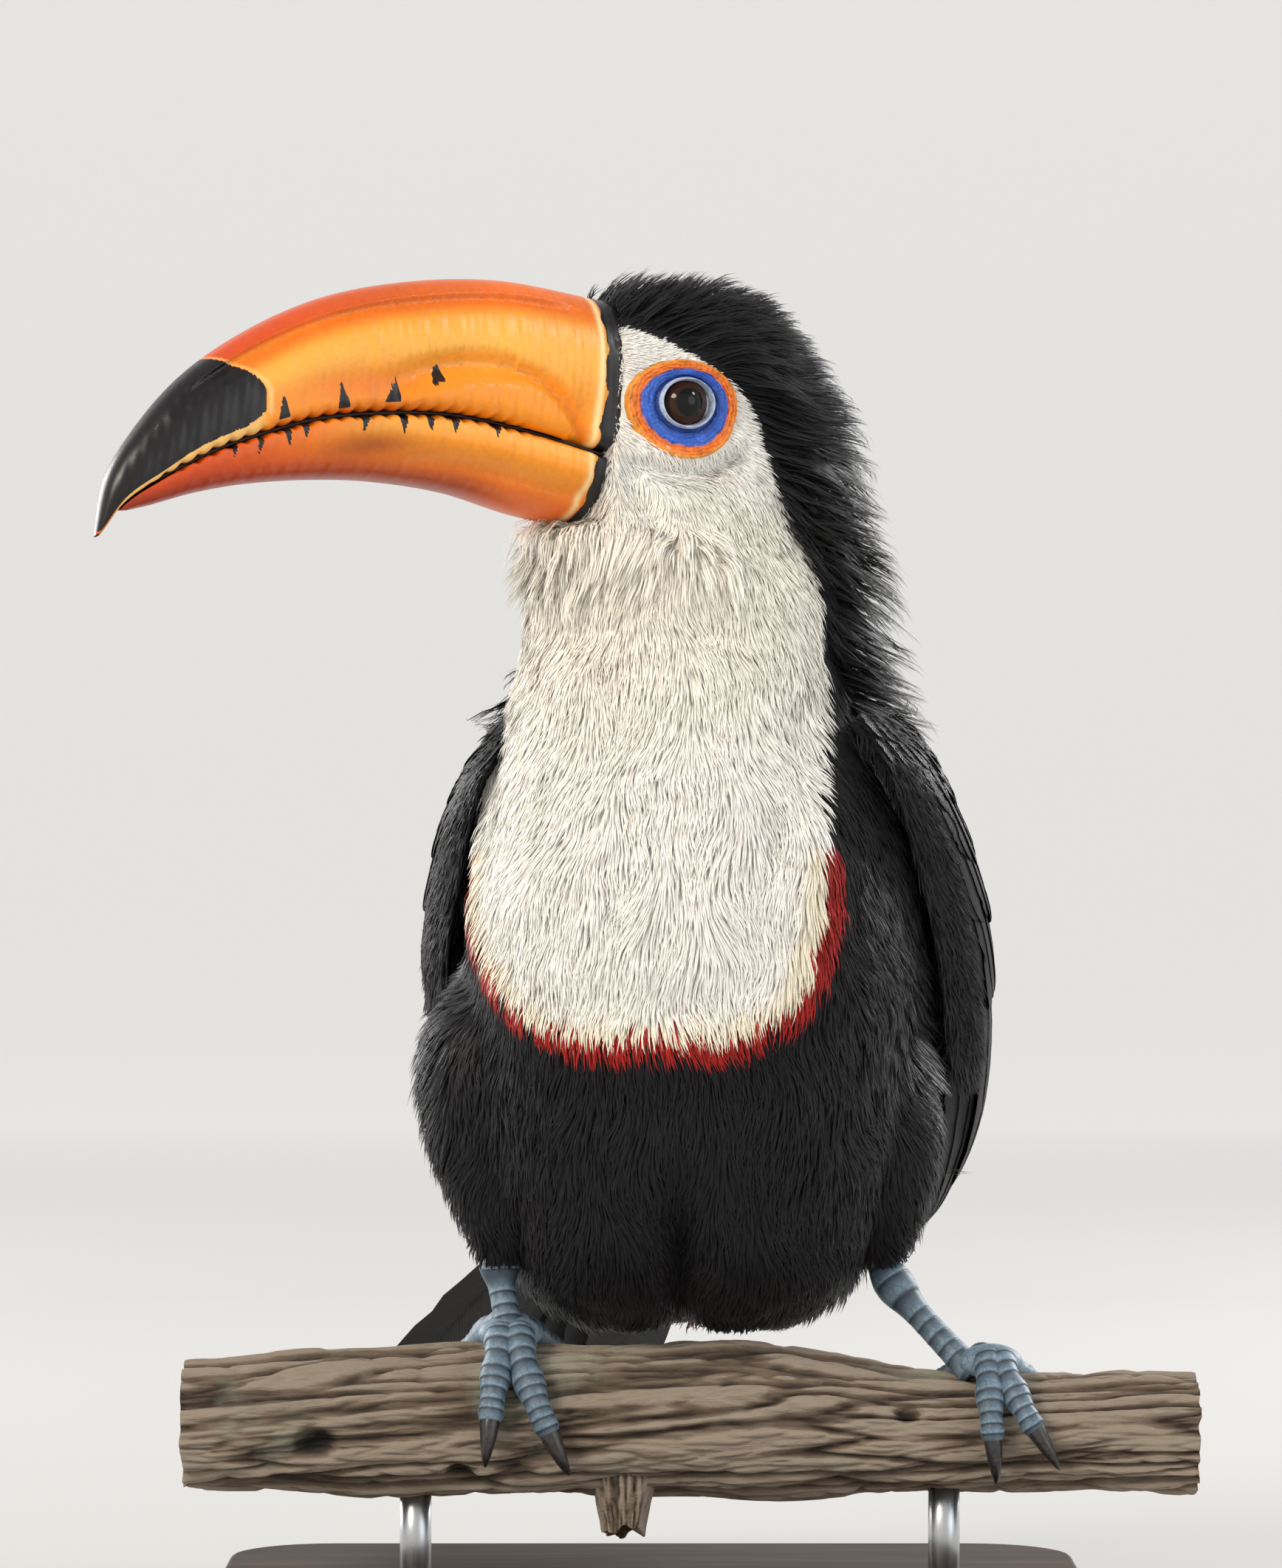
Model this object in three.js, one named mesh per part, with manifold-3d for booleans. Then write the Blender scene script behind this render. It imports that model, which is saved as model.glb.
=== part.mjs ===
// A toco toucan at life size, gripping a cut length of branch that two short rods hold over a flat base.
// Millimetres, +Z up. The breast faces -Y, the bird's left is +X, and the bill turns to the bird's right.
// The origin is on the base's underside, below the branch. The bird is drawn from the branch's top, at ROOST.
import * as THREE from "three";
import { mergeVertices } from "three/addons/utils/BufferGeometryUtils.js";
import Module from "manifold-3d";

const wasm = await Module();
wasm.setup();
const { Manifold, Mesh } = wasm;

const GAP = 0.3; // between pieces that meet
const TURN = Math.PI * 2;
const radians = THREE.MathUtils.degToRad;
const lerp = THREE.MathUtils.lerp;
const clamp = THREE.MathUtils.clamp;
const vec = (x, y, z) => new THREE.Vector3(x, y, z);

// ---------------------------------------------------------------- stand and branch
const BASE = { length: 250, depth: 190, thick: 12, corner: 30, shiftX: -8, shiftY: 18 };
const ROD = { radius: 4.5, apart: 150, sink: 8, clear: 26 };
const BRANCH = { left: -141, right: 147, radius: 22.5 };
const ROOST = BASE.thick + ROD.clear + 2 * BRANCH.radius; // top of the branch under the bird

// ---------------------------------------------------------------- head and bill
const HEADING = 58; // degrees that the head is turned to the bird's right
const HEAD = vec(0, -2, 0); // the upright axis through the head
const BILL_FACE = { reach: 32.5, height: 262, lean: 0.14 }; // the plane where the bill meets the face
const CULMEN = [[28, 294], [62, 298.2], [92, 296.4], [117, 291], [140, 281], [159, 268.5], [173, 254],
  [182, 240.5], [185.8, 223.6]];
const MOUTH = [[34.2, 249.6], [62, 256.2], [85, 259.6], [107, 259.2], [124, 257.2], [140, 252.8], [154, 247.8],
  [169, 240], [178.7, 233.4], [184.8, 224.6]];
const GONYS = [[36.8, 230], [54, 232.8], [77, 238.6], [101, 241.2], [120, 241.2], [140, 239.6], [156, 236.8],
  [170, 233], [177, 231.4]];
const EYE = { reach: 12.2, height: 264.6, radius: 8.2, bulge: 2.6, lid: 7.4, detail: 10 };
const NECK_TOP = 227.5;
const NECK_FOOT = 180;
const HEAD_SEAM = { forward: 14, flat: 52, slope: 1 }; // the head's locks hang past this radius over the neck's

// ---------------------------------------------------------------- body
// Level cuts through the plumage: height, centre x, centre y, half width, reach forwards, reach back, heading.
const BODY = [
  [0, 3, 26, 48, 42, 46, 0],
  [24, 2, 22, 54, 56, 58, 0],
  [55, 2, 16, 65, 69, 66, 3],
  [87, 4, 12, 66, 72, 62, 7],
  [118, 5, 6, 64.5, 69, 57, 10],
  [145, 4, 2, 60, 61, 52, 12],
  [170, 1, 0, 52, 52, 47, 15],
  [192, 1, -1, 46, 46, 42, 24],
  [213, 1, -2, 42.5, 44, 38, 38],
  [234, 0, -2, 33, 49, 37, 54],
  [252, 0, -2, 26, 51, 37, 58],
  [268, 0, -2, 24.5, 50, 36, 58],
  [282, 0, -2, 24, 47, 33, 58],
  [297, 0, -2, 23, 44, 30, 58],
];
const BELLY = { low: 1.5, cap: 32, power: 2.7 };
const CROWN = { high: 294, cap: 26, power: 2.6 };
const SQUARENESS = 2.25;

// The folded wing is a shield over the flank: level, then out and back from the spine for its front edge,
// its fullest line and its back edge. It is given for the left wing, and the right one mirrors it.
const WING = [
  [178, [48, -24], [57, -2], [47, 17]],
  [160, [60, -26], [69, 5], [44, 39]],
  [130, [67, -10], [77, 24], [36, 60]],
  [98, [71, 6], [77.5, 46], [25, 80]],
  [66, [69, 27], [70.5, 64], [19, 93]],
  [40, [60, 50], [56, 80], [19, 100]],
  [18, [50, 72], [45, 93], [24, 107]],
];
const WING_YAW = 10;
const RIGHT_LIFT = 21; // how much higher the right wing's tip is held
const WING_CENTRE = 5;
const WING_CORE = { reach: 0.78, thick: 7, tipThick: 3, top: 9.5, fall: 13.5 };
// Tiers from the lowest up: shares along the wing of the roots and tips, and across it, front edge first.
const TIERS = [
  { feathers: 6, height: 0, root: [0.5, 0.56], tip: [0.86, 1], across: [0.07, 0.62], width: 16 },
  { feathers: 6, height: 2.4, root: [0.38, 0.38], tip: [0.84, 0.8], across: [0.26, 0.9], width: 15.5 },
  { feathers: 3, height: 4.6, root: [0.24, 0.22], tip: [0.66, 0.74], across: [0.78, 0.97], width: 16 },
  { feathers: 7, height: 4.8, root: [0.22, 0.22], tip: [0.53, 0.47], across: [0.08, 0.74], width: 15 },
  { feathers: 6, height: 7.2, root: [0.03, 0.03], tip: [0.29, 0.27], across: [0.1, 0.88], width: 17 },
];
const VANE = { thick: 1.3, step: 1.7 }; // middle thickness, and how far each lies over the next
const VANE_WIDTHS = [[0, 0.72], [0.5, 1], [0.9, 0.7]];

const TAIL = {
  root: vec(-14, 72, 46), aim: vec(-0.4, 0.69, -0.6), length: 140, fan: 12.5, halfWidth: 14,
  feathers: 10, width: 28, step: 1.7, shorter: 3.4, core: 40,
};

// The erect crown and the mane down the nape: flat locks that rise off the plumage and bend along its lie.
const LOCK = { thick: 2.4, sink: 3, stations: [[0, 0.75], [0.34, 1], [0.7, 0.62]] };
const CROWN_LOCKS = {
  from: 55, to: 146, rows: 7, columns: 5, spread: 54, width: 11.5, rise: [8, 14], run: [10, 15],
};
const NAPE_LOCKS = { spread: 66, spacing: 14, width: 14.5, rise: 15, run: 15 };
const HEAD_NAPE = [276, 265.5, 255, 245, 235.5];
const NECK_NAPE = [217, 207, 197];

// Thigh rows are x, y, z and radius. A foot stands at x along the branch and at an angle round it from its top,
// positive to the front. A toe row is its start along the branch, the angle it reaches, its drift and radius.
const LEGS = {
  left: {
    thigh: [[46, 2, 100, 20], [50, 0, 80, 22], [54, 0, 56, 20], [57, 4, 36, 13], [57.8, 8, 23, 6.5]],
    ankle: vec(58, 9, 18.5),
    foot: { x: 88, angle: 14 },
    toes: [[-2, 96, 2, 3.8], [6, 88, 7, 3.8], [-5, -58, -10, 3.6], [4, -50, 10, 3.4]],
  },
  right: {
    thigh: [[-42, 2, 104, 20], [-49, -2, 84, 25], [-51, -4, 58, 21.5], [-50, -5, 37, 14.5], [-51, -4, 23, 7]],
    ankle: vec(-51, -3, 18.5),
    foot: { x: -48, angle: 18 },
    toes: [[-5.5, 90, 0, 4.1], [5.5, 98, 7, 4.1], [-5, -58, -12, 3.8], [5, -48, 10, 3.5]],
  },
};

// ---------------------------------------------------------------- solids
function solidFrom(geometry) {
  geometry.deleteAttribute("normal");
  geometry.deleteAttribute("uv");
  const merged = mergeVertices(geometry, 1e-4);
  const vertProperties = merged.attributes.position.array;
  const triVerts = new Uint32Array(merged.index.array);
  const made = new Manifold(new Mesh({ numProp: 3, vertProperties, triVerts }));
  if (made.volume() > 0) return made;
  for (let i = 0; i < triVerts.length; i += 3)
    [triVerts[i + 1], triVerts[i + 2]] = [triVerts[i + 2], triVerts[i + 1]];
  return new Manifold(new Mesh({ numProp: 3, vertProperties, triVerts }));
}

// A sphere's net drawn over any closed form: place(u, k) gives the point at share u round ring k, and the
// first and last rings are single points.
function shaped(around, rings, place) {
  const geometry = new THREE.SphereGeometry(1, around, rings);
  const position = geometry.attributes.position;
  for (let ring = 0; ring <= rings; ring++)
    for (let step = 0; step <= around; step++) {
      const point = place((step % around) / around, ring);
      position.setXYZ(ring * (around + 1) + step, point.x, point.y, point.z);
    }
  return solidFrom(geometry);
}

// A thin blade through flat sections to a pointed tip. A vane's sections are left, top, right and bottom, and
// both its faces are split into triangles alike, so that they never cross. A lock's are left, top and right.
function blade(sections, tip) {
  const sides = sections[0].length;
  const points = [...sections.flat(), tip];
  const end = points.length - 1;
  const faces = sides === 4 ? [0, 3, 2, 0, 2, 1] : [0, 2, 1];
  for (let a = 0; a < end - sides; a += sides)
    for (let k = 0; k < sides; k++) {
      const [here, next] = [a + k, a + ((k + 1) % sides)];
      const [ahead, across] = [here + sides, next + sides];
      if (k % 2) faces.push(here, next, ahead, next, across, ahead);
      else faces.push(here, next, across, here, across, ahead);
    }
  for (let k = 0; k < sides; k++) faces.push(end - sides + k, end - sides + ((k + 1) % sides), end);
  const geometry = new THREE.BufferGeometry().setFromPoints(points);
  geometry.setIndex(faces);
  return solidFrom(geometry);
}

const union = (solids) => solids.reduce((whole, solid) => whole.add(solid));

function largest(solid) {
  const pieces = solid.decompose();
  return pieces.reduce((best, piece) => (piece.volume() > best.volume() ? piece : best));
}

// Reads a table whose rows start with their level, with a smooth curve through the rows.
function sample(rows, level) {
  const last = rows.length - 1;
  let i = 0;
  while (i < last - 1 && level > rows[i + 1][0]) i++;
  const span = rows[i + 1][0] - rows[i][0];
  const t = clamp((level - rows[i][0]) / span, 0, 1);
  const before = rows[Math.max(i - 1, 0)];
  const after = rows[Math.min(i + 2, last)];
  return rows[i].map((value, column) => {
    const next = rows[i + 1][column];
    const slopeIn = ((next - before[column]) / (rows[i + 1][0] - before[0])) * span;
    const slopeOut = ((after[column] - value) / (after[0] - rows[i][0])) * span;
    const t2 = t * t;
    const t3 = t2 * t;
    return (2 * t3 - 3 * t2 + 1) * value + (t3 - 2 * t2 + t) * slopeIn + (3 * t2 - 2 * t3) * next
      + (t3 - t2) * slopeOut;
  });
}

function axes(heading) {
  const angle = radians(heading);
  const ahead = vec(-Math.sin(angle), -Math.cos(angle), 0);
  return { ahead, left: vec(-ahead.y, ahead.x, 0) };
}

const power = (value, exponent) => Math.sign(value) * Math.abs(value) ** exponent;

// ---------------------------------------------------------------- plumage from belly to crown
function closing(level) {
  const dome = ({ cap, power: n }, depth) =>
    depth >= cap ? 1 : Math.max(0, 1 - (1 - Math.max(depth, 0) / cap) ** n) ** (1 / n);
  return dome(BELLY, level - BELLY.low) * dome(CROWN, CROWN.high - level);
}

function bodyPoint(u, level, grow = 0) {
  const [, x, y, side, front, back, heading] = sample(BODY, level);
  const { ahead, left } = axes(heading);
  const c = Math.cos(u * TURN);
  const s = Math.sin(u * TURN);
  const round = closing(level);
  const forwards = (c > 0 ? front : back) * power(c, 2 / SQUARENESS) * round + grow * c;
  const sideways = side * power(s, 2 / SQUARENESS) * round + grow * s;
  return vec(x, y, level).addScaledVector(ahead, forwards).addScaledVector(left, sideways);
}

function bodyForm(around, rings, grow = 0) {
  const low = BELLY.low - grow;
  const high = CROWN.high + grow;
  const crowd = 0.55; // draws the rings together at both ends
  return shaped(around, rings, (u, ring) => {
    const t = ring / rings;
    const level = lerp(low, high, t - (crowd * Math.sin(t * TURN)) / TURN);
    if (ring === 0 || ring === rings) {
      const [, x, y] = sample(BODY, level);
      return vec(x, y, level);
    }
    return bodyPoint(u, clamp(level, BELLY.low + 0.05, CROWN.high - 0.05), grow).setZ(level);
  });
}

// ---------------------------------------------------------------- head
const head = axes(HEADING);
const faceNormal = head.ahead.clone().add(vec(0, 0, BILL_FACE.lean)).normalize();
const inHead = (reach, height, side = 0) =>
  vec(HEAD.x, HEAD.y, height).addScaledVector(head.ahead, reach).addScaledVector(head.left, side);
const faceOffset = faceNormal.dot(inHead(BILL_FACE.reach, BILL_FACE.height));

function ball(centre, radius, detail) {
  const geometry = new THREE.SphereGeometry(radius, detail, detail);
  return solidFrom(geometry.translate(centre.x, centre.y, centre.z));
}

function eyeCentre(side) {
  const [, , , halfWidth, front] = sample(BODY, EYE.height);
  const skin = halfWidth * (1 - (EYE.reach / front) ** SQUARENESS) ** (1 / SQUARENESS);
  return inHead(EYE.reach, EYE.height, side * (skin + EYE.bulge - EYE.radius));
}

function lidRing(side) {
  const ring = new THREE.TorusGeometry(EYE.lid, 1.7, 5, 12);
  const out = head.left.clone().multiplyScalar(side).addScaledVector(head.ahead, 0.12).normalize();
  ring.applyQuaternion(new THREE.Quaternion().setFromUnitVectors(vec(0, 0, 1), out));
  const centre = eyeCentre(side).addScaledVector(out, EYE.radius - EYE.bulge - 0.2);
  return solidFrom(ring.translate(centre.x, centre.y, centre.z));
}

// The room above a level: flat over the middle, then falling away outwards along the lie of the locks.
function headRoom(level) {
  const { forward, flat, slope } = HEAD_SEAM;
  const [reach, top] = [130, level + 200];
  const outline = [[0, top], [reach, top], [reach, level - (reach - flat) * slope], [flat, level], [0, level]];
  const room = new THREE.LatheGeometry(outline.map(([radius, z]) => new THREE.Vector2(radius, z)), 40);
  const centre = inHead(forward, 0);
  return solidFrom(room.rotateX(Math.PI / 2).translate(centre.x, centre.y, 0));
}

// ---------------------------------------------------------------- crown and nape locks
function insideBody(point) {
  const [, x, y, side, front, back, heading] = sample(BODY, point.z);
  const { ahead, left } = axes(heading);
  const off = point.clone().sub(vec(x, y, point.z));
  const forwards = off.dot(ahead) / (off.dot(ahead) > 0 ? front : back);
  const sideways = off.dot(left) / side;
  const level = closing(point.z);
  return Math.abs(forwards) ** SQUARENESS + Math.abs(sideways) ** SQUARENESS < level ** SQUARENESS;
}

// Where a ray from inside leaves the plumage.
function surfaceFrom(centre, aim) {
  let [near, far] = [0, 120];
  for (let i = 0; i < 24; i++) {
    const middle = (near + far) / 2;
    if (insideBody(centre.clone().addScaledVector(aim, middle))) near = middle;
    else far = middle;
  }
  return centre.clone().addScaledVector(aim, near);
}

function lock(root, normal, lie, { width, rise, run }) {
  const side = normal.clone().cross(lie).normalize();
  const spine = new THREE.QuadraticBezierCurve3(
    root.clone().addScaledVector(normal, -LOCK.sink).addScaledVector(lie, -1.5),
    root.clone().addScaledVector(normal, rise * 0.72).addScaledVector(lie, run * 0.2),
    root.clone().addScaledVector(normal, rise).addScaledVector(lie, run),
  );
  const sections = LOCK.stations.map(([t, share]) => {
    const centre = spine.getPoint(t);
    const up = side.clone().cross(spine.getTangent(t)).normalize();
    const half = (width * share) / 2;
    const depth = (LOCK.thick * (1 - 0.6 * t)) / 2;
    return [[-half, -depth], [0, depth], [half, -depth]].map(([out, off]) =>
      centre.clone().addScaledVector(side, out).addScaledVector(up, off));
  });
  return blade(sections, spine.getPoint(1));
}

// Rows over the crown from the forehead to the nape, in the plane that the head faces, each half a column on.
function crownLocks() {
  const { from, to, rows, columns, spread, width, rise, run } = CROWN_LOCKS;
  const centre = inHead(4, 262);
  const aim = (over, aside) => head.ahead.clone().multiplyScalar(Math.cos(over) * Math.cos(aside))
    .add(vec(0, 0, Math.sin(over) * Math.cos(aside))).addScaledVector(head.left, Math.sin(aside));
  const locks = [];
  for (let row = 0; row < rows; row++) {
    const share = row / (rows - 1);
    const over = radians(lerp(from, to, share));
    const count = columns - (row % 2);
    for (let column = 0; column < count; column++) {
      const aside = radians(((2 * column - (count - 1)) / (columns - 1)) * spread);
      const root = surfaceFrom(centre, aim(over, aside));
      const along = surfaceFrom(centre, aim(over + 0.05, aside)).sub(root).normalize();
      const across = surfaceFrom(centre, aim(over, aside + 0.05)).sub(root).normalize();
      const normal = across.cross(along).normalize();
      if (normal.dot(root.clone().sub(centre)) < 0) normal.negate();
      const size = { width, rise: lerp(...rise, share), run: lerp(...run, share) };
      locks.push(lock(root, normal, along, size));
    }
  }
  return locks;
}

// Rows round the back at the given levels, on both sides of the line that the nape follows.
function napeLocks(levels) {
  const { spread, spacing, width, rise, run } = NAPE_LOCKS;
  const locks = [];
  levels.forEach((level, row) => {
    const [, , , side, , back] = sample(BODY, level);
    const columns = Math.round((radians(spread) * (side + back)) / spacing) + 1;
    const count = columns - (row % 2);
    for (let column = 0; column < count; column++) {
      const u = 0.5 + (((2 * column - (count - 1)) / (columns - 1)) * spread) / 360;
      const root = bodyPoint(u, level);
      const lie = bodyPoint(u, level - 2).sub(root).normalize();
      const normal = bodyPoint(u + 0.01, level).sub(bodyPoint(u - 0.01, level)).cross(lie).normalize();
      if (normal.dot(root.clone().setZ(0)) < 0) normal.negate();
      locks.push(lock(root, normal, lie, { width, rise, run }));
    }
  });
  return locks;
}

// ---------------------------------------------------------------- bill
const profile = (points) => new THREE.CatmullRomCurve3(points.map(([reach, height]) => vec(reach, height, 0)));
const culmen = profile(CULMEN);
const mouth = profile(MOUTH);
const gonys = profile(GONYS);
const BILL_WIDTH = [[0, 19.6], [0.15, 19.2], [0.4, 17.2], [0.6, 14.2], [0.78, 10.2], [0.9, 6.4], [0.97, 3.2],
  [1, 1.2]];
const TEETH = { from: 0.16, to: 0.86, depth: 0.9 };

// One half of the bill between the mouth line and an outer line. Notches open along the mouth line.
function mandible(outer, rings, around, { lift, fullest, squareness, slim }) {
  return shaped(around, rings, (u, ring) => {
    const t = clamp((ring - 1) / (rings - 2), 0, 1);
    const share = t * 0.995;
    const edge = mouth.getPointAt(share * slim.reach);
    const rim = outer.getPointAt(share);
    const toothed = share > TEETH.from && share < TEETH.to && ring % 2;
    edge.y += lift + (toothed ? TEETH.depth * Math.sign(lift) : 0);
    if (ring === 0 || ring === rings) return inHead((edge.x + rim.x) / 2, (edge.y + rim.y) / 2);
    const angle = u * TURN;
    const halfWidth = sample(BILL_WIDTH, share * slim.reach)[1] * slim.width;
    const rise = Math.sin(angle);
    const across = halfWidth * power(Math.cos(angle), 2 / (rise > 0 ? squareness : 5));
    const q = rise > 0 ? fullest + (1 - fullest) * power(rise, 2 / squareness)
      : fullest * (1 - Math.abs(rise) ** 0.4);
    return inHead(lerp(edge.x, rim.x, q), lerp(edge.y, rim.y, q), across);
  });
}

function upperBill() {
  const form = { lift: GAP / 2, fullest: 0.2, squareness: 2.3, slim: { reach: 1, width: 1 } };
  const whole = mandible(culmen, 28, 14, form);
  const nostrils = [1, -1].map((side) => ball(inHead(29.5, 292.5, side * 6.5), 2.4, 7));
  return nostrils.reduce((bill, nostril) => bill.subtract(nostril), whole);
}

function lowerBill() {
  const form = { lift: -GAP / 2, fullest: 0.16, squareness: 2.1, slim: { reach: 0.95, width: 0.93 } };
  return mandible(gonys, 26, 10, form);
}

// ---------------------------------------------------------------- wings
function wingFrame(side) {
  const { ahead, left } = axes(WING_YAW);
  return (out, back, level) =>
    vec(WING_CENTRE, 0, level).addScaledVector(left, side * out).addScaledVector(ahead, -back);
}

// The wing's outer face: p runs from shoulder to tip and q from the front edge to the back edge.
function wingSurface(side, lift) {
  const place = wingFrame(side);
  const last = WING.length - 1;
  const rows = WING.map(([level, front, full, back], i) => [i / last, level, ...front, ...full, ...back]);
  return (p, q) => {
    const [, level, frontOut, frontBack, fullOut, fullBack, backOut, backBack] = sample(rows, p);
    const curve = new THREE.QuadraticBezierCurve(
      new THREE.Vector2(frontOut, frontBack),
      new THREE.Vector2(2 * fullOut - (frontOut + backOut) / 2, 2 * fullBack - (frontBack + backBack) / 2),
      new THREE.Vector2(backOut, backBack),
    );
    const at = curve.getPoint(q);
    return place(at.x, at.y, level + lift * p * p);
  };
}

function normalOf(surface, p, q, outwards) {
  const step = 0.01;
  const alongP = surface(p + step, q).sub(surface(p - step, q));
  const alongQ = surface(p, q + step).sub(surface(p, q - step));
  const normal = alongP.cross(alongQ).normalize();
  return normal.dot(outwards) < 0 ? normal.negate() : normal;
}

// How far the feathers of the top tier stand off the lowest tier's level, from shoulder to tip.
const plumageHeight = (p) => 8.8 * (1 - p) + 0.3;

function wingCore(side, lift) {
  const surface = wingSurface(side, lift);
  const outwards = axes(WING_YAW).left.multiplyScalar(side);
  const { reach, thick, tipThick, top, fall } = WING_CORE;
  const rings = 9;
  return shaped(12, rings, (u, ring) => {
    const share = clamp((ring - 1) / (rings - 2), 0, 1);
    const p = share * reach;
    const outer = u < 0.5;
    const end = ring === 0 || ring === rings;
    const q = end ? 0.5 : lerp(0.03, 0.97, outer ? u * 2 : 2 - u * 2);
    const edge = Math.sin(Math.PI * q) ** 0.5;
    const height = top - fall * p - plumageHeight(p);
    const depth = end ? 2 : outer ? 1.2 * (1 - edge) : 1 + lerp(thick, tipThick, share) * edge;
    return surface(p, q).addScaledVector(normalOf(surface, clamp(p, 0.02, 0.98), q, outwards), height - depth);
  });
}

// A vane lies on the wing from root to tip. Its front edge is raised over the vane in front of it.
function vane(surface, outwards, { height, root, tip, q, width, spacing }) {
  const at = (t, side, rise) => {
    const p = clamp(lerp(root, tip, t), 0.005, 0.995);
    const perQ = surface(p, q + 0.01).distanceTo(surface(p, q - 0.01)) / 0.02;
    const qHere = q + side / perQ;
    const tilt = -(side / spacing) * VANE.step;
    const normal = normalOf(surface, clamp(p, 0.02, 0.98), clamp(qHere, 0.02, 0.98), outwards);
    return surface(p, qHere).addScaledVector(normal, height - plumageHeight(p) + tilt + rise);
  };
  const sections = VANE_WIDTHS.map(([t, share]) => {
    const half = (width * share) / 2;
    return [at(t, -half, 0), at(t, 0, VANE.thick / 2), at(t, half, 0), at(t, 0, -VANE.thick / 2)];
  });
  return blade(sections, at(1, 0, 0));
}

function wingForm(side, lift) {
  const surface = wingSurface(side, lift);
  const outwards = axes(WING_YAW).left.multiplyScalar(side);
  const parts = [wingCore(side, lift)];
  for (const { feathers, height, root, tip, across, width } of TIERS)
    for (let i = 0; i < feathers; i++) {
      const share = i / (feathers - 1);
      const q = lerp(...across, share);
      const breadth = surface(root[0], across[0]).distanceTo(surface(root[0], across[1]));
      const spacing = breadth / (feathers - 1);
      const ends = { root: lerp(...root, share), tip: lerp(...tip, share) };
      parts.push(vane(surface, outwards, { ...ends, height, q, width, spacing }));
    }
  return union(parts);
}

// ---------------------------------------------------------------- tail
function tailFrame() {
  const along = TAIL.aim.clone().normalize();
  const across = vec(along.y, -along.x, 0).normalize();
  return { along, across, above: across.clone().cross(along).normalize() };
}

// The coverts over the tail's root, as one flat tapered form.
function tailCoverts() {
  const { along, across, above } = tailFrame();
  const rings = 8;
  return shaped(14, rings, (u, ring) => {
    const t = clamp((ring - 1) / (rings - 2), 0, 1);
    const middle = TAIL.root.clone().addScaledVector(along, lerp(-30, TAIL.core, t));
    if (ring === 0 || ring === rings) return middle;
    const halfWidth = lerp(24, 15, t);
    const halfThick = lerp(17, 3, t ** 0.8);
    return middle.addScaledVector(across, halfWidth * Math.cos(u * TURN))
      .addScaledVector(above, halfThick * Math.sin(u * TURN) - 3);
  });
}

function tailFeather(share) {
  const { along, across, above } = tailFrame();
  const outward = Math.abs(share);
  const turn = radians(TAIL.fan * share);
  const line = along.clone().multiplyScalar(Math.cos(turn)).addScaledVector(across, Math.sin(turn));
  const side = across.clone().multiplyScalar(Math.cos(turn)).addScaledVector(along, -Math.sin(turn));
  const pair = Math.round(outward * 4.5 - 0.5);
  const level = -TAIL.step * (pair + (share > 0 ? 0 : 0.5));
  const length = TAIL.length - TAIL.shorter * pair ** 1.3;
  const at = (t, out, rise) =>
    TAIL.root.clone().addScaledVector(across, TAIL.halfWidth * share).addScaledVector(line, lerp(4, length, t))
      .addScaledVector(side, out).addScaledVector(above, level + rise - 5 * t * t);
  const sections = VANE_WIDTHS.map(([t, wide]) => {
    const half = (TAIL.width / 2) * lerp(0.62, 1, Math.min(t * 2, 1)) * wide;
    return [at(t, -half, 0), at(t, 0, VANE.thick / 2), at(t, half, 0), at(t, 0, -VANE.thick / 2)];
  });
  return blade(sections, at(1, 0, 0));
}

function tailForm() {
  const parts = [tailCoverts()];
  for (let i = 0; i < TAIL.feathers; i++) parts.push(tailFeather((2 * i) / (TAIL.feathers - 1) - 1));
  return union(parts);
}

// The room that the tail needs clear of the wings.
function tailRoom() {
  const { along, across, above } = tailFrame();
  const rings = 6;
  return shaped(12, rings, (u, ring) => {
    const t = clamp((ring - 1) / (rings - 2), 0, 1);
    const middle = TAIL.root.clone().addScaledVector(along, lerp(-30, TAIL.length, t))
      .addScaledVector(above, -4);
    if (ring === 0 || ring === rings) return middle;
    return middle.addScaledVector(across, lerp(25, 52, t) * Math.cos(u * TURN))
      .addScaledVector(above, lerp(18, 9, Math.min(t * 2, 1)) * Math.sin(u * TURN));
  });
}

// ---------------------------------------------------------------- legs
function thighForm({ thigh }, grow = 0) {
  const line = new THREE.CatmullRomCurve3(thigh.map(([x, y, z]) => vec(x, y, z)));
  const rows = thigh.map((row, i) => [i / (thigh.length - 1), row[3]]);
  const rings = 9;
  return shaped(14, rings, (u, ring) => {
    const t = clamp((ring - 1) / (rings - 2), 0, 1);
    const centre = line.getPoint(t);
    if (ring === 0 || ring === rings) return centre;
    const radius = sample(rows, t)[1] * (ring === 1 ? 0.6 : 1) + grow;
    return centre.add(vec(Math.cos(u * TURN), Math.sin(u * TURN), 0).multiplyScalar(radius));
  });
}

// A round limb along a curve, with flat ends, whose radius is given by its share of the length.
function limb(curve, radiusAt, around, rings) {
  return shaped(around, rings, (u, ring) => {
    const t = clamp((ring - 1) / (rings - 2), 0, 1);
    const centre = curve.getPoint(t);
    if (ring === 0 || ring === rings) return centre;
    const tangent = curve.getTangent(t);
    const side = tangent.clone().cross(vec(0.31, 0.95, 0.05)).normalize();
    const up = side.clone().cross(tangent).normalize();
    const radius = radiusAt(t);
    return centre.addScaledVector(side, radius * Math.cos(u * TURN))
      .addScaledVector(up, radius * Math.sin(u * TURN));
  });
}

const thinning = (x) => THREE.MathUtils.smoothstep(x, 18, 88); // where the branch drops to its thin right end
const leftTaper = (x) => (x < 0 ? (x / BRANCH.left) ** 2 : 0);

function branchAxis(x) {
  return vec(x, 0, -BRANCH.radius - 3.6 * thinning(x) - leftTaper(x));
}

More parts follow.
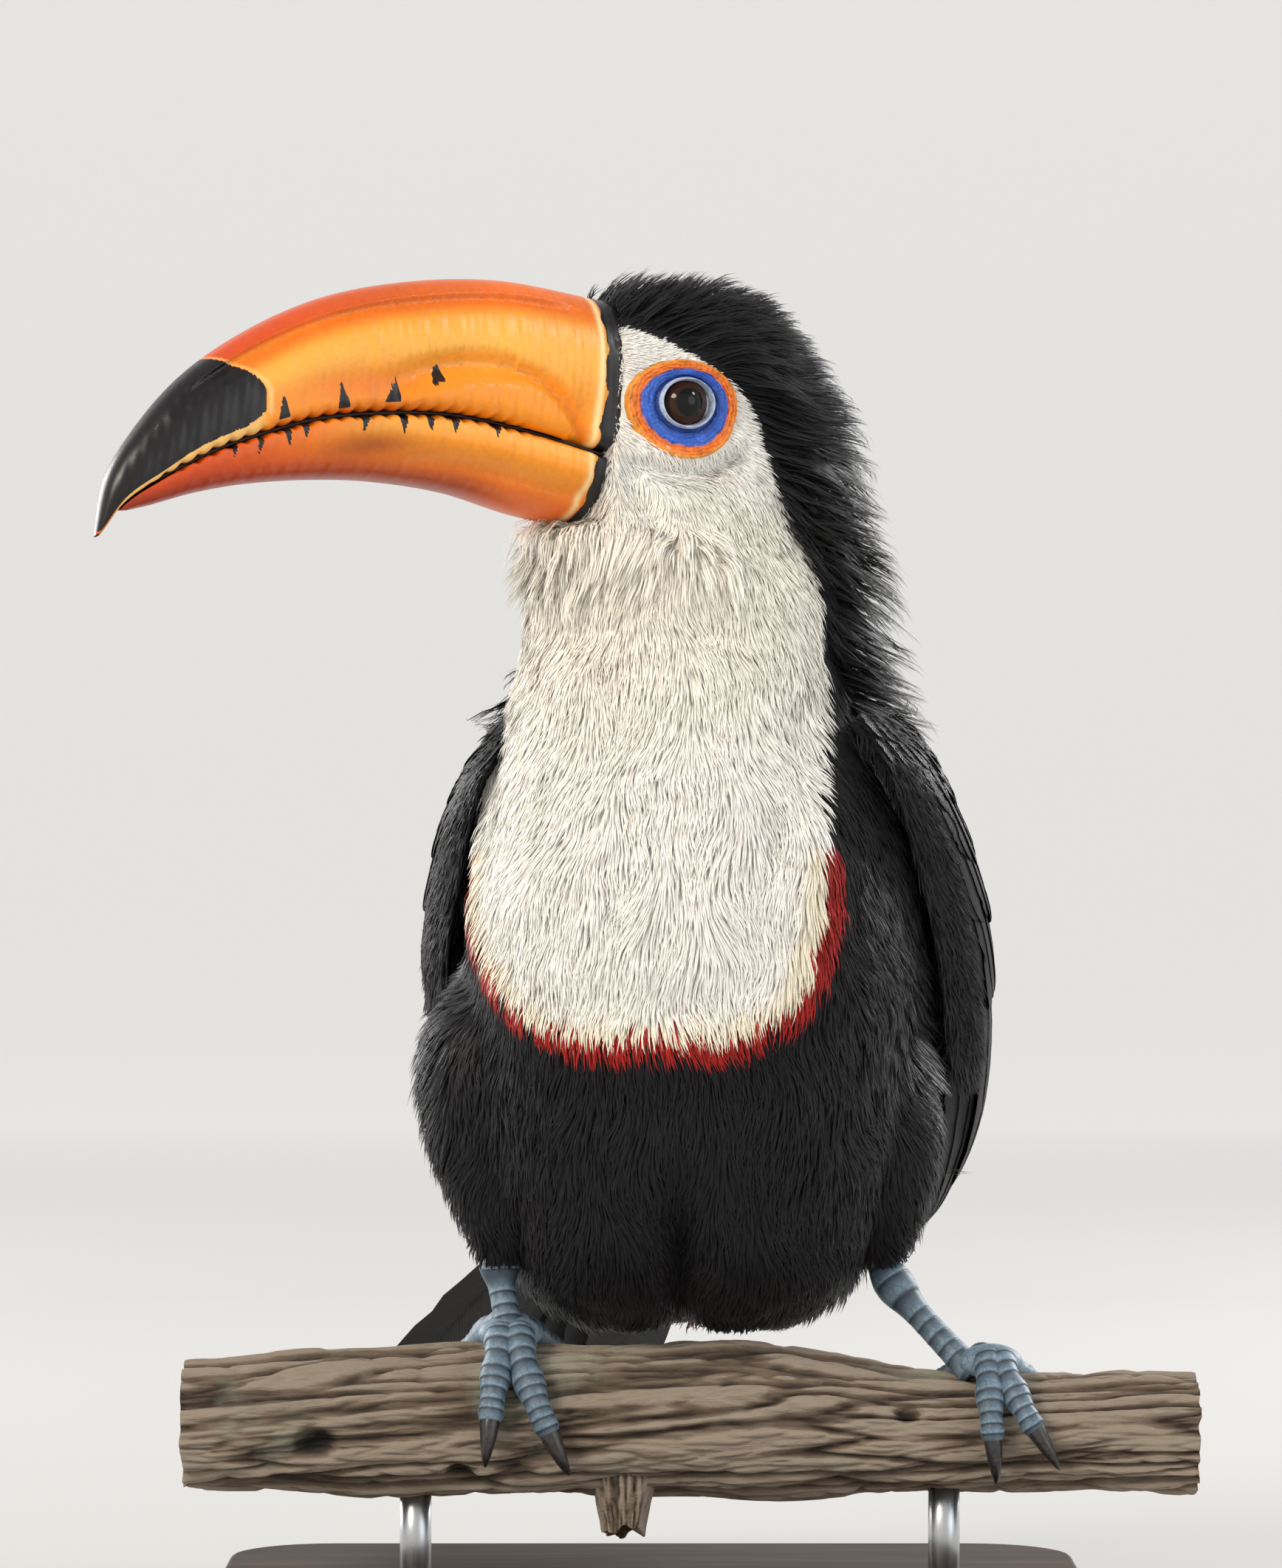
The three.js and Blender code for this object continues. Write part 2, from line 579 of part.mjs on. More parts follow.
// The bark's radius, with knots and hollows as slow waves along and round the branch.
function branchRadius(x, angle) {
  const waves = 0.5 * Math.sin(x / 17 + 2 * angle) + 0.45 * Math.sin(x / 9 - 3 * angle + 1);
  return BRANCH.radius - 5.2 * thinning(x) - 3 * leftTaper(x) + waves - 0.95;
}

// A point at angle round the branch from its top, positive to the front, and at height off the bark.
function onBranch(x, angle, height) {
  const radius = branchRadius(x, angle) + height;
  return branchAxis(x).add(vec(0, -radius * Math.sin(angle), radius * Math.cos(angle)));
}

function branchForm() {
  const rings = 22;
  const wood = shaped(16, rings, (u, ring) => {
    const t = clamp((ring - 1) / (rings - 2), 0, 1);
    const x = lerp(BRANCH.left, BRANCH.right, t);
    if (ring === 0 || ring === rings) return branchAxis(x);
    return onBranch(x, u * TURN, 0);
  });
  const stub = new THREE.CylinderGeometry(6.2, 9, 22, 9).rotateX(radians(104)).translate(-16, -8, -42.5);
  return wood.add(solidFrom(stub));
}

function rodForm(x, radius, bottom, top) {
  const rod = new THREE.CylinderGeometry(radius, radius, top - bottom, 12);
  return solidFrom(rod.rotateX(Math.PI / 2).translate(x, 0, (top + bottom) / 2));
}

function baseForm() {
  const { length, depth, thick, corner, shiftX, shiftY } = BASE;
  const outline = new THREE.Shape();
  const [side, end] = [length / 2 - corner, depth / 2 - corner];
  const quarter = Math.PI / 2;
  outline.moveTo(side, -end - corner);
  [[side, -end], [side, end], [-side, end], [-side, -end]].forEach(([x, y], i) =>
    outline.absarc(x, y, corner, (i - 1) * quarter, i * quarter));
  const plate = new THREE.ExtrudeGeometry(outline, { depth: thick, bevelEnabled: false, curveSegments: 4 });
  return solidFrom(plate.translate(shiftX, shiftY, 0));
}

// ---------------------------------------------------------------- feet
function toeCurve(foot, [offset, reach, drift, radius]) {
  const points = [];
  const steps = 5;
  for (let i = 0; i <= steps; i++) {
    const t = i / steps;
    const angle = lerp(foot.angle, reach, 0.05 + 0.95 * t);
    const lift = radius + GAP + 0.35 + 2.2 * (1 - t) ** 3;
    points.push(onBranch(foot.x + offset * (0.4 + 0.6 * t) + drift * t * t, radians(angle), lift));
  }
  return new THREE.CatmullRomCurve3(points);
}

const footTop = (foot) => onBranch(foot.x, radians(foot.angle), 5.4);

function footForm({ foot, toes }) {
  const rest = footTop(foot);
  const pad = new THREE.SphereGeometry(1, 10, 7).scale(9, 7, 4.8).rotateX(radians(foot.angle));
  const parts = [solidFrom(pad.translate(rest.x, rest.y, rest.z))];
  for (const toe of toes) {
    const radius = (t) => toe[3] * (1 + 0.08 * Math.sin(t * TURN * 2.5)) * lerp(1.05, 0.84, t);
    parts.push(limb(toeCurve(foot, toe), radius, 6, 8));
  }
  return union(parts);
}

function clawForm(foot, toe) {
  const curve = toeCurve(foot, toe);
  const tip = curve.getPoint(1);
  const aim = curve.getTangent(1);
  const out = tip.clone().sub(branchAxis(tip.x)).setX(0).normalize();
  const size = toe[3] * 0.72;
  const start = tip.clone().addScaledVector(aim, GAP);
  const claw = new THREE.CubicBezierCurve3(
    start,
    start.clone().addScaledVector(aim, 4.5),
    start.clone().addScaledVector(aim, 8.5).addScaledVector(out, -0.4),
    start.clone().addScaledVector(aim, 11).addScaledVector(out, -size + 0.5),
  );
  return limb(claw, (t) => size * (1 - 0.86 * t ** 1.3), 6, 6);
}

function shankForm({ ankle }, sole) {
  return limb(new THREE.LineCurve3(ankle, sole), (t) => 3.6 + 1.3 * (1 - t) ** 4 + 0.8 * t ** 6, 9, 6);
}

// ---------------------------------------------------------------- assembly
const FINISH = {
  plumage: { color: 0x14130f, roughness: 0.75, metalness: 0 },
  bib: { color: 0xf1ead8, roughness: 0.85, metalness: 0 },
  bill: { color: 0xee7a12, roughness: 0.35, metalness: 0 },
  eye: { color: 0x1a0f0a, roughness: 0.08, metalness: 0 },
  legs: { color: 0x6f8794, roughness: 0.6, metalness: 0 },
  claws: { color: 0x22201f, roughness: 0.4, metalness: 0 },
  bark: { color: 0x6a5643, roughness: 0.9, metalness: 0 },
  steel: { color: 0x8c8f92, roughness: 0.3, metalness: 1 },
  base: { color: 0x2b2521, roughness: 0.5, metalness: 0 },
};

const toucan = new THREE.Group();
toucan.name = "toco_toucan";

function add(name, solid, finish) {
  const { vertProperties, triVerts } = largest(solid).getMesh();
  const geometry = new THREE.BufferGeometry();
  geometry.setAttribute("position", new THREE.BufferAttribute(vertProperties, 3));
  geometry.setIndex(new THREE.BufferAttribute(triVerts, 1));
  const mesh = new THREE.Mesh(geometry, new THREE.MeshStandardMaterial(FINISH[finish]));
  mesh.name = name;
  toucan.add(mesh);
  return mesh;
}

const cutClear = (solid, others) => others.reduce((left, other) => left.subtract(other), solid);
const UP = [0, 0, 1];
const DOWN = [0, 0, -1];
const roosting = new THREE.Group(); // everything drawn from the top of the branch
roosting.position.z = ROOST;
toucan.add(roosting);
const perched = (name, solid, finish) => roosting.add(add(name, solid, finish));

const body = bodyForm(36, 34);
const clearOfBody = bodyForm(36, 34, GAP);
const eyes = [1, -1].map((side) => ball(eyeCentre(side), EYE.radius, EYE.detail));
const sockets = [1, -1].map((side) => ball(eyeCentre(side), EYE.radius + GAP, EYE.detail));
const thighs = Object.fromEntries(Object.entries(LEGS).map(([side, leg]) => [side, thighForm(leg)]));
const clearOfThighs = Object.values(LEGS).map((leg) => thighForm(leg, GAP));
const clearOfTail = tailRoom();

const skull = union([body, lidRing(1), lidRing(-1), ...crownLocks(), ...napeLocks(HEAD_NAPE)])
  .intersect(headRoom(NECK_TOP + GAP / 2))
  .trimByPlane(faceNormal.clone().negate().toArray(), -faceOffset + GAP);
perched("head", cutClear(skull, sockets), "plumage");
const neck = union([body, ...napeLocks(NECK_NAPE)])
  .subtract(headRoom(NECK_TOP - GAP / 2))
  .trimByPlane(UP, NECK_FOOT + GAP / 2);
perched("neck", neck, "bib");
perched("torso", body.trimByPlane(DOWN, -NECK_FOOT + GAP / 2), "plumage");
perched("eye_left", eyes[0], "eye");
perched("eye_right", eyes[1], "eye");
perched("bill_upper", upperBill(), "bill");
perched("bill_lower", lowerBill(), "bill");

const wingRoom = [clearOfBody, ...clearOfThighs, clearOfTail];
perched("wing_left", cutClear(wingForm(1, 0), wingRoom), "plumage");
perched("wing_right", cutClear(wingForm(-1, RIGHT_LIFT), wingRoom), "plumage");
perched("tail", tailForm().subtract(clearOfBody), "plumage");

for (const [side, leg] of Object.entries(LEGS)) {
  const sole = footTop(leg.foot);
  const down = sole.clone().sub(leg.ankle).normalize();
  const up = down.clone().negate();
  const shank = shankForm(leg, sole);
  const [ankleCut, footCut] = [down.dot(leg.ankle) + 1, down.dot(sole) - 5.5];
  const above = (solid, cut) => solid.trimByPlane(up.toArray(), -cut);
  const below = (solid, cut) => solid.trimByPlane(down.toArray(), cut + GAP);
  perched(`thigh_${side}`, above(thighs[side].subtract(clearOfBody), ankleCut), "plumage");
  perched(`shank_${side}`, above(below(shank, ankleCut), footCut), "legs");
  perched(`foot_${side}`, below(footForm(leg).add(shank), footCut), "legs");
  leg.toes.forEach((toe, i) => perched(`claw_${side}_${i + 1}`, clawForm(leg.foot, toe), "claws"));
}

const rodXs = [-ROD.apart / 2, ROD.apart / 2];
const rodTop = (x) => onBranch(x, Math.PI, 0).z + ROD.sink;
const rodFoot = BASE.thick - ROD.sink;
const bores = rodXs.map((x) => rodForm(x, ROD.radius + GAP, -ROOST, rodTop(x) + GAP));
const sinks = rodXs.map((x) => rodForm(x, ROD.radius + GAP, rodFoot, 2 * BASE.thick));
perched("perch_branch", cutClear(branchForm(), bores), "bark");
add("stand_base", cutClear(baseForm(), sinks), "base");
for (const x of rodXs) {
  const rod = rodForm(x, ROD.radius, rodFoot + GAP, ROOST + rodTop(x));
  add(`stand_rod_${x < 0 ? "right" : "left"}`, rod, "steel");
}

export default toucan;
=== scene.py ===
"""A toco toucan at life size, gripping a cut length of branch that a plain display stand holds.

Lengths are millimetres until a mesh is made. Heights of the bird are measured from the top of the branch.
The breast faces -Y, the bird's left is +X, and the bill turns to the bird's right.
"""

import math

import bmesh
import bpy
import numpy as np
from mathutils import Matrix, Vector, noise
from mathutils.bvhtree import BVHTree
from mathutils.kdtree import KDTree


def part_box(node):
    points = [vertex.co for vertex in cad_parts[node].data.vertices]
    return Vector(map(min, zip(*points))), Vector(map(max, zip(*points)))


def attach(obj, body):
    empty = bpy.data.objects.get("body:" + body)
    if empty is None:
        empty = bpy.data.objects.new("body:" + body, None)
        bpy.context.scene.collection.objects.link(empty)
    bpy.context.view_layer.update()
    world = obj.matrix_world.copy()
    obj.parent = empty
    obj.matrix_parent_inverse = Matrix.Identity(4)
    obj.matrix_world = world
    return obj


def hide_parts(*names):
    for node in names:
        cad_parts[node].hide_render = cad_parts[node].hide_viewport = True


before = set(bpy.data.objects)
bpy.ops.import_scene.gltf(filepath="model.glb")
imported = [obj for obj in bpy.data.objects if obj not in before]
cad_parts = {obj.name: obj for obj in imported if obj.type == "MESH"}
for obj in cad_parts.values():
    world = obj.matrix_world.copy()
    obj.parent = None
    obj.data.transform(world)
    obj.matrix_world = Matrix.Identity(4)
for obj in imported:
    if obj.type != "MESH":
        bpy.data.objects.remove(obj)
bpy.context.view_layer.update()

MM = 0.001
TURN = 2 * math.pi
SEED = 11
draw = np.random.default_rng(SEED)

# ---------------------------------------------------------------- sizes shared with the solids
SIDES = {"left": 1, "right": -1}
ROOST = 83.0  # top of the branch above the floor
HEADING = 58.0
HEAD = np.array([0.0, -2.0, 0.0])
FACE_REACH, FACE_HEIGHT, FACE_LEAN = 32.5, 262.0, 0.14
CULMEN = [[28, 294], [62, 298.2], [92, 296.4], [117, 291], [140, 281], [159, 268.5], [173, 254], [182, 240.5],
          [185.8, 223.6]]
MOUTH = [[34.2, 249.6], [62, 256.2], [85, 259.6], [107, 259.2], [124, 257.2], [140, 252.8], [154, 247.8],
         [169, 240], [178.7, 233.4], [184.8, 224.6]]
GONYS = [[36.8, 230], [54, 232.8], [77, 238.6], [101, 241.2], [120, 241.2], [140, 239.6], [156, 236.8],
         [170, 233], [177, 231.4]]
BILL_WIDTH = [[0, 19.6], [0.15, 19.2], [0.4, 17.2], [0.6, 14.2], [0.78, 10.2], [0.9, 6.4], [0.97, 3.2],
              [1, 1.2]]
EYE_REACH, EYE_HEIGHT, EYE_RADIUS, EYE_BULGE = 12.2, 264.6, 8.2, 2.6

# Level cuts through the plumage: height, centre x, centre y, half width, reach forwards, reach back, heading.
BODY = [
    [0, 3, 26, 48, 42, 46, 0],
    [24, 2, 22, 54, 56, 58, 0],
    [55, 2, 16, 65, 69, 66, 3],
    [87, 4, 12, 66, 72, 62, 7],
    [118, 5, 6, 64.5, 69, 57, 10],
    [145, 4, 2, 60, 61, 52, 12],
    [170, 1, 0, 52, 52, 47, 15],
    [192, 1, -1, 46, 46, 42, 24],
    [213, 1, -2, 42.5, 44, 38, 38],
    [234, 0, -2, 33, 49, 37, 54],
    [252, 0, -2, 26, 51, 37, 58],
    [268, 0, -2, 24.5, 50, 36, 58],
    [282, 0, -2, 24, 47, 33, 58],
    [297, 0, -2, 23, 44, 30, 58],
]
BELLY_LOW, BELLY_CAP, BELLY_POWER = 1.5, 32.0, 2.7
CROWN_HIGH, CROWN_CAP, CROWN_POWER = 294.0, 26.0, 2.6
SQUARENESS = 2.25

# The folded wing: share from shoulder to tip, level, then out and back for its front edge, fullest line and
# back edge.
WING = [
    [0, 178, 48, -24, 57, -2, 47, 17],
    [1 / 6, 160, 60, -26, 69, 5, 44, 39],
    [2 / 6, 130, 67, -10, 77, 24, 36, 60],
    [3 / 6, 98, 71, 6, 77.5, 46, 25, 80],
    [4 / 6, 66, 69, 27, 70.5, 64, 19, 93],
    [5 / 6, 40, 60, 50, 56, 80, 19, 100],
    [1, 18, 50, 72, 45, 93, 24, 107],
]
WING_YAW, WING_CENTRE = 10.0, 5.0
# By side: how far the wing's tip lifts, how far its shoulder tucks in, and its flare: shift, where, how far.
LIFT = {1: 0.0, -1: 21.0}
TUCK = {1: 0.0, -1: 4.5}
FLARE = {1: (3.0, 0.82, 0.13), -1: (-5.5, 0.58, 0.17)}
TAIL_ROOT = np.array([-14.0, 72.0, 46.0])
TAIL_AIM = np.array([-0.4, 0.69, -0.6])
TAIL_LENGTH, TAIL_FAN, TAIL_HALF, TAIL_WIDTH, TAIL_STEP, TAIL_SHORTER = 140.0, 12.5, 15.5, 29.0, 1.7, 3.4

# Thigh: x, y, level, radius. Foot: x and degrees round the branch. Heel: the shank's end from the foot's.
# Toes: sideways offset, degrees round the branch at the tip, sideways drift, radius.
LEGS = {
    "left": {
        "thigh": [[46, 2, 100, 20], [50, 0, 80, 22], [54, 0, 56, 20], [57, 4, 36, 13], [57.8, 8, 23, 6.5]],
        "ankle": [58, 9, 18.5],
        "foot": (88.0, 14.0),
        "heel": [-4.5, 1.5, -4],
        "toes": [[-2, 96, 2, 3.8], [6, 88, 7, 3.8], [-5, -58, -10, 3.6], [4, -50, 10, 3.4]],
    },
    "right": {
        "thigh": [[-42, 2, 104, 20], [-49, -2, 84, 25], [-51, -4, 58, 21.5], [-50, -5, 37, 14.5],
                  [-51, -4, 23, 7]],
        "ankle": [-51, -3, 18.5],
        "foot": (-48.0, 18.0),
        "heel": [0, 0, 0],
        "toes": [[-5.5, 90, 0, 4.1], [5.5, 98, 7, 4.1], [-5, -58, -12, 3.8], [5, -48, 10, 3.5]],
    },
}
BRANCH_LEFT, BRANCH_RIGHT, BRANCH_RADIUS = -141.0, 147.0, 22.5
GAP = 0.3

# ---------------------------------------------------------------- colours
HEX = {
    "black_root": "#0b0a0c", "black_tip": "#17161a", "brown_edge": "#241f1e", "white": "#fbf8f1",
    "cream": "#f2e3b4", "red": "#a81f17", "orange_skin": "#e9741c", "yellow_skin": "#f0a83c",
    "blue_skin": "#2f62c4", "dark_blue": "#173a86", "lid": "#b9c9de", "orange_horn": "#f2901a",
    "deep_horn": "#e8680f", "red_horn": "#cf3d12", "yellow_horn": "#f8b544", "brown_horn": "#8e2a10",
    "spot_rim": "#f6c977", "base_rim": "#f9dd9c",
}


def linear(hex_colour):
    """An sRGB hex colour as linear RGBA."""
    parts = [int(hex_colour[i:i + 2], 16) / 255 for i in (1, 3, 5)]
    return tuple(c / 12.92 if c <= 0.04045 else ((c + 0.055) / 1.055) ** 2.4 for c in parts) + (1.0,)


PAINT = {name: np.array(linear(value)) for name, value in HEX.items()}


# ---------------------------------------------------------------- curves and levels
def through(rows, at):
    """Reads a table whose rows start with their level, with a smooth curve through the rows."""
    rows = np.asarray(rows, float)
    at = np.atleast_1d(np.asarray(at, float))
    last = len(rows) - 1
    i = np.clip(np.searchsorted(rows[:, 0], at, side="right") - 1, 0, last - 1)
    before, here, ahead, after = (rows[np.clip(i + k, 0, last)] for k in (-1, 0, 1, 2))
    span = ahead[:, :1] - here[:, :1]
    t = np.clip((at[:, None] - here[:, :1]) / span, 0, 1)
    slope_in = (ahead - before) / (ahead[:, :1] - before[:, :1]) * span
    slope_out = (after - here) / (after[:, :1] - here[:, :1]) * span
    return ((2 * t**3 - 3 * t**2 + 1) * here + (t**3 - 2 * t**2 + t) * slope_in
            + (3 * t**2 - 2 * t**3) * ahead + (t**3 - t**2) * slope_out)


LINE_STEPS = 40


def line_through(points):
    """A centripetal curve through the points, finely stepped."""
    p = np.asarray(points, float)
    p = np.vstack([2 * p[0] - p[1], p, 2 * p[-1] - p[-2]])
    steps = np.linalg.norm(np.diff(p, axis=0), axis=1) ** 0.5
    out = []

    def between(first, second, low, high, t):
        return (high - t) / (high - low) * first + (t - low) / (high - low) * second

    for i in range(1, len(p) - 2):
        k = np.concatenate([[0], np.cumsum(steps[i - 1:i + 2])])
        t = np.linspace(k[1], k[2], LINE_STEPS, endpoint=i == len(p) - 3)[:, None]
        a = [between(p[i - 1 + j], p[i + j], k[j], k[j + 1], t) for j in range(3)]
        b = [between(a[j], a[j + 1], k[j], k[j + 2], t) for j in range(2)]
        out.append(between(b[0], b[1], k[1], k[2], t))
    return np.vstack(out)


def along(line, share, even=True):
    """Points at shares of a finely stepped line, by length or by its own steps."""
    lengths = np.concatenate([[0], np.cumsum(np.linalg.norm(np.diff(line, axis=0), axis=1))])
    scale = lengths / lengths[-1] if even else np.linspace(0, 1, len(line))
    return np.stack([np.interp(share, scale, line[:, k]) for k in range(line.shape[1])], -1)


def power(value, exponent):
    return np.sign(value) * np.abs(value) ** exponent


def unit(v):
    return v / np.maximum(np.linalg.norm(v, axis=-1, keepdims=True), 1e-9)


def dot(a, b):
    return np.sum(a * b, axis=-1, keepdims=True)


def ease(value, low, high):
    t = np.clip((value - low) / (high - low), 0, 1)
    return t * t * (3 - 2 * t)


def stretch(value, start, full, fading, gone):
    """1 over a stretch, eased at both ends."""
    return ease(value, start, full) * (1 - ease(value, fading, gone))


def hill(value, middle, width):
    """A soft hill of height 1."""
    return np.exp(-((value - middle) / width) ** 2)


def mix(a, b, share):
    share = np.asarray(share)[..., None]
    return a * (1 - share) + b * share


def oval_point(centre, angle, across, wide, over, tall):
    """Points round an oval with two axes."""
    return centre + (wide * np.cos(angle))[:, None] * across + (tall * np.sin(angle))[:, None] * over


def axes(heading):
    angle = np.radians(heading)
    ahead = np.stack([-np.sin(angle), -np.cos(angle), np.zeros_like(angle)], -1)
    return ahead, np.stack([-ahead[..., 1], ahead[..., 0], ahead[..., 2]], -1)


HEAD_AHEAD, HEAD_LEFT = axes(np.float64(HEADING))
UP = np.array([0.0, 0.0, 1.0])


def in_head(reach, height, side=0.0):
    reach, height, side = np.broadcast_arrays(reach, height, side)
    level_part = (HEAD + reach[..., None] * HEAD_AHEAD + side[..., None] * HEAD_LEFT) * [1, 1, 0]
    return level_part + height[..., None] * UP


def head_reach(points):
    return (points - HEAD) @ HEAD_AHEAD


def face_plane(height):
    """How far forwards in the head the face ends and the bill starts."""
    return FACE_REACH + FACE_LEAN * (FACE_HEIGHT - height)


# ---------------------------------------------------------------- the plumage's form
def closing(level):
    def dome(cap, n, depth):
        return np.maximum(0, 1 - (1 - np.clip(depth, 0, cap) / cap) ** n) ** (1 / n)
    return dome(BELLY_CAP, BELLY_POWER, level - BELLY_LOW) * dome(CROWN_CAP, CROWN_POWER, CROWN_HIGH - level)


def body_point(u, level, grow=0.0):
    _, x, y, side, front, back, heading = through(BODY, level).T
    ahead, left = axes(heading)
    c, s = np.cos(u * TURN), np.sin(u * TURN)
    closed = closing(level)
    forwards = np.where(c > 0, front, back) * power(c, 2 / SQUARENESS) * closed + grow * c
    sideways = side * power(s, 2 / SQUARENESS) * closed + grow * s
    return np.stack([x, y, level], -1) + forwards[:, None] * ahead + sideways[:, None] * left


def body_angle(points):
    """Degrees round the body from the way that it faces at each point's level, positive to its left."""
    _, x, y, _, _, _, heading = through(BODY, points[:, 2]).T
    ahead, left = axes(heading)
    off = points - np.stack([x, y, points[:, 2]], -1)
    return np.degrees(np.arctan2(dot(off, left)[:, 0], dot(off, ahead)[:, 0]))


# Ovals round the eye, by reach forwards, back, up and down: lid opening, lid, blue ring, orange skin.
EYE_OVALS = np.array([[7.2, 7.2, 6.1, 6.2], [9.0, 8.8, 7.2, 7.6], [14.0, 13.2, 9.4, 12.4],
                      [18.6, 17.0, 12.6, 16.2]])
EYE_FORWARDS = 0.12  # how far an eye looks ahead for each part that it looks aside
BEHIND_EYE = -9.0


def eye_centre(side):
    _, _, _, half, front, _, _ = through(BODY, EYE_HEIGHT)[0]
    skin = half * (1 - (EYE_REACH / front) ** SQUARENESS) ** (1 / SQUARENESS)
    return in_head(EYE_REACH, EYE_HEIGHT, side * (skin + EYE_BULGE - EYE_RADIUS))


def eye_axes(side):
    """The way that an eye looks, then backwards and up across that."""
    out = unit(side * HEAD_LEFT + EYE_FORWARDS * HEAD_AHEAD)
    aside = unit(-HEAD_AHEAD + (HEAD_AHEAD @ out) * out)
    return out, aside, UP


def round_eye(points, side):
    """Where points lie round an eye: their turn, how far they are off its axis, and how far out."""
    out, aside, over = eye_axes(side)
    off = points - eye_centre(side)
    return np.arctan2(off @ over, off @ aside), np.hypot(off @ over, off @ aside), off @ out


def oval_reach(turn):
    """How far each oval reaches at an angle that turns from backwards to up."""
    c, s = np.cos(turn), np.sin(turn)
    wide = np.where(c[..., None] > 0, EYE_OVALS[:, 1], EYE_OVALS[:, 0])
    tall = np.where(s[..., None] > 0, EYE_OVALS[:, 2], EYE_OVALS[:, 3])
    return 1 / np.sqrt((c[..., None] / wide) ** 2 + (s[..., None] / tall) ** 2)


def in_orbit(points, margin=0.8):
    """Whether points lie on the bare skin round an eye, or within a margin of it."""
    best = np.full(len(points), np.inf)
    for side in SIDES.values():
        turn, away, out = round_eye(points, side)
        best = np.minimum(best, np.where(out > BEHIND_EYE, away - oval_reach(turn)[:, 3], np.inf))
    return (best < margin) & (points[:, 2] > 240)


# ---------------------------------------------------------------- markings, the same on skin and coat
# The bib's lower edge: degrees from the front, and its height there. The cap's edge: height, and degrees.
BIB_EDGE = [[0, 81.8], [8, 81.9], [16, 82.1], [22, 84], [28, 87.6], [33, 90.6], [38, 95.6], [42, 101],
            [49, 111], [53, 120], [55.5, 132], [60, 143], [66, 158], [80, 174], [88, 192], [99, 204],
            [111, 221], [120, 240]]
CAP_EDGE = [[236, 119], [250, 121], [258, 118], [265, 111], [273, 90], [281, 57], [286, 31], [289.5, 0]]
# Levels, and the degrees that the bib sits to the bird's right there.
BIB_TURN = [[78, 90, 97, 111, 125, 150, 165, 185, 200, 225], [2.5, 4, 5.5, 9.8, 11.5, 10, 7.5, 4, 2, 0]]
BIB_LOW, BIB_TOP = 72, 238
DEGREE = 0.85  # mm round the body for a degree
FAR_OUT = -50
RED_EDGE, RED_BAND, RED_TOP, RED_TURN = 0.8, 5.0, 135, 66


def bib_angle(points):
    """Degrees round the body from the bib's middle line."""
    return np.abs(body_angle(points) + np.interp(points[:, 2], *BIB_TURN))


def white_depth(points):
    """How far inside the white of bib, throat and cheek a point lies, in mm, negative outside."""
    level = points[:, 2]
    angle = bib_angle(points)
    edges, heights = np.array(BIB_EDGE).T
    rise = level - np.interp(angle, edges, heights, right=400)
    low = level < BIB_TOP
    cap = np.interp(level, *np.array(CAP_EDGE).T, right=-40)
    edge = np.where(low, np.interp(level, heights, edges, left=0), cap)
    round_off = (edge - angle) * DEGREE
    by_rise = (level < heights[0]) | (low & (np.abs(rise) < np.abs(round_off)))
    return np.where(level < BIB_LOW, FAR_OUT, np.where(by_rise, rise, round_off))


def all_black(points):
    return np.repeat(PAINT["black_tip"][None], len(points), 0)


def plumage_colour(points):
    """The colours of skin and coat at each point."""
    inside, level = white_depth(points), points[:, 2]
    low = (level < RED_TOP) & (bib_angle(points) < RED_TURN)
    colour = all_black(points)
    colour[low & (inside > RED_EDGE - RED_BAND) & (inside <= RED_EDGE)] = PAINT["red"]
    white = inside > np.where(low, RED_EDGE, 0)
    cream = np.where(low, 1 - ease(inside, 2, 9), 0) * 1.4
    cream = np.maximum(cream, 0.35 * stretch(level, 150, 200, 225, 245))
    colour[white] = mix(PAINT["white"], PAINT["cream"], np.clip(cream, 0, 1) * 0.45)[white]
    behind = np.abs(points[:, 0] + 8) < 34
    over_tail = (points - TAIL_ROOT) @ tail_frame()[2]
    under = behind & (points[:, 1] > 38) & (level < 36)
    back = behind & (np.abs(body_angle(points)) > 110) & (level > 36) & (level < 74)
    rump = back | (under & (over_tail > -6))
    rump[rump] = uncovered(points[rump], 9.0)
    colour[rump] = PAINT["white"]
    colour[under & (over_tail <= -6)] = PAINT["red"]
    return colour


# ---------------------------------------------------------------- meshes
def placed(points):
    return (np.asarray(points, float) + [0, 0, ROOST]) * MM


def spots_of(mesh):
    """A mesh's points in mm, measured as the bird is."""
    co = np.zeros(len(mesh.vertices) * 3)
    mesh.vertices.foreach_get("co", co)
    return co.reshape(-1, 3) / MM - [0, 0, ROOST]


def add_object(name, data):
    made = bpy.data.objects.new(name, data)
    bpy.context.scene.collection.objects.link(made)
    return made


def show(name, mesh, materials, replaces=()):
    piece = add_object(name, mesh)
    for material in materials:
        mesh.materials.append(material)
    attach(piece, "root")
    if replaces:
        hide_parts(*replaces)


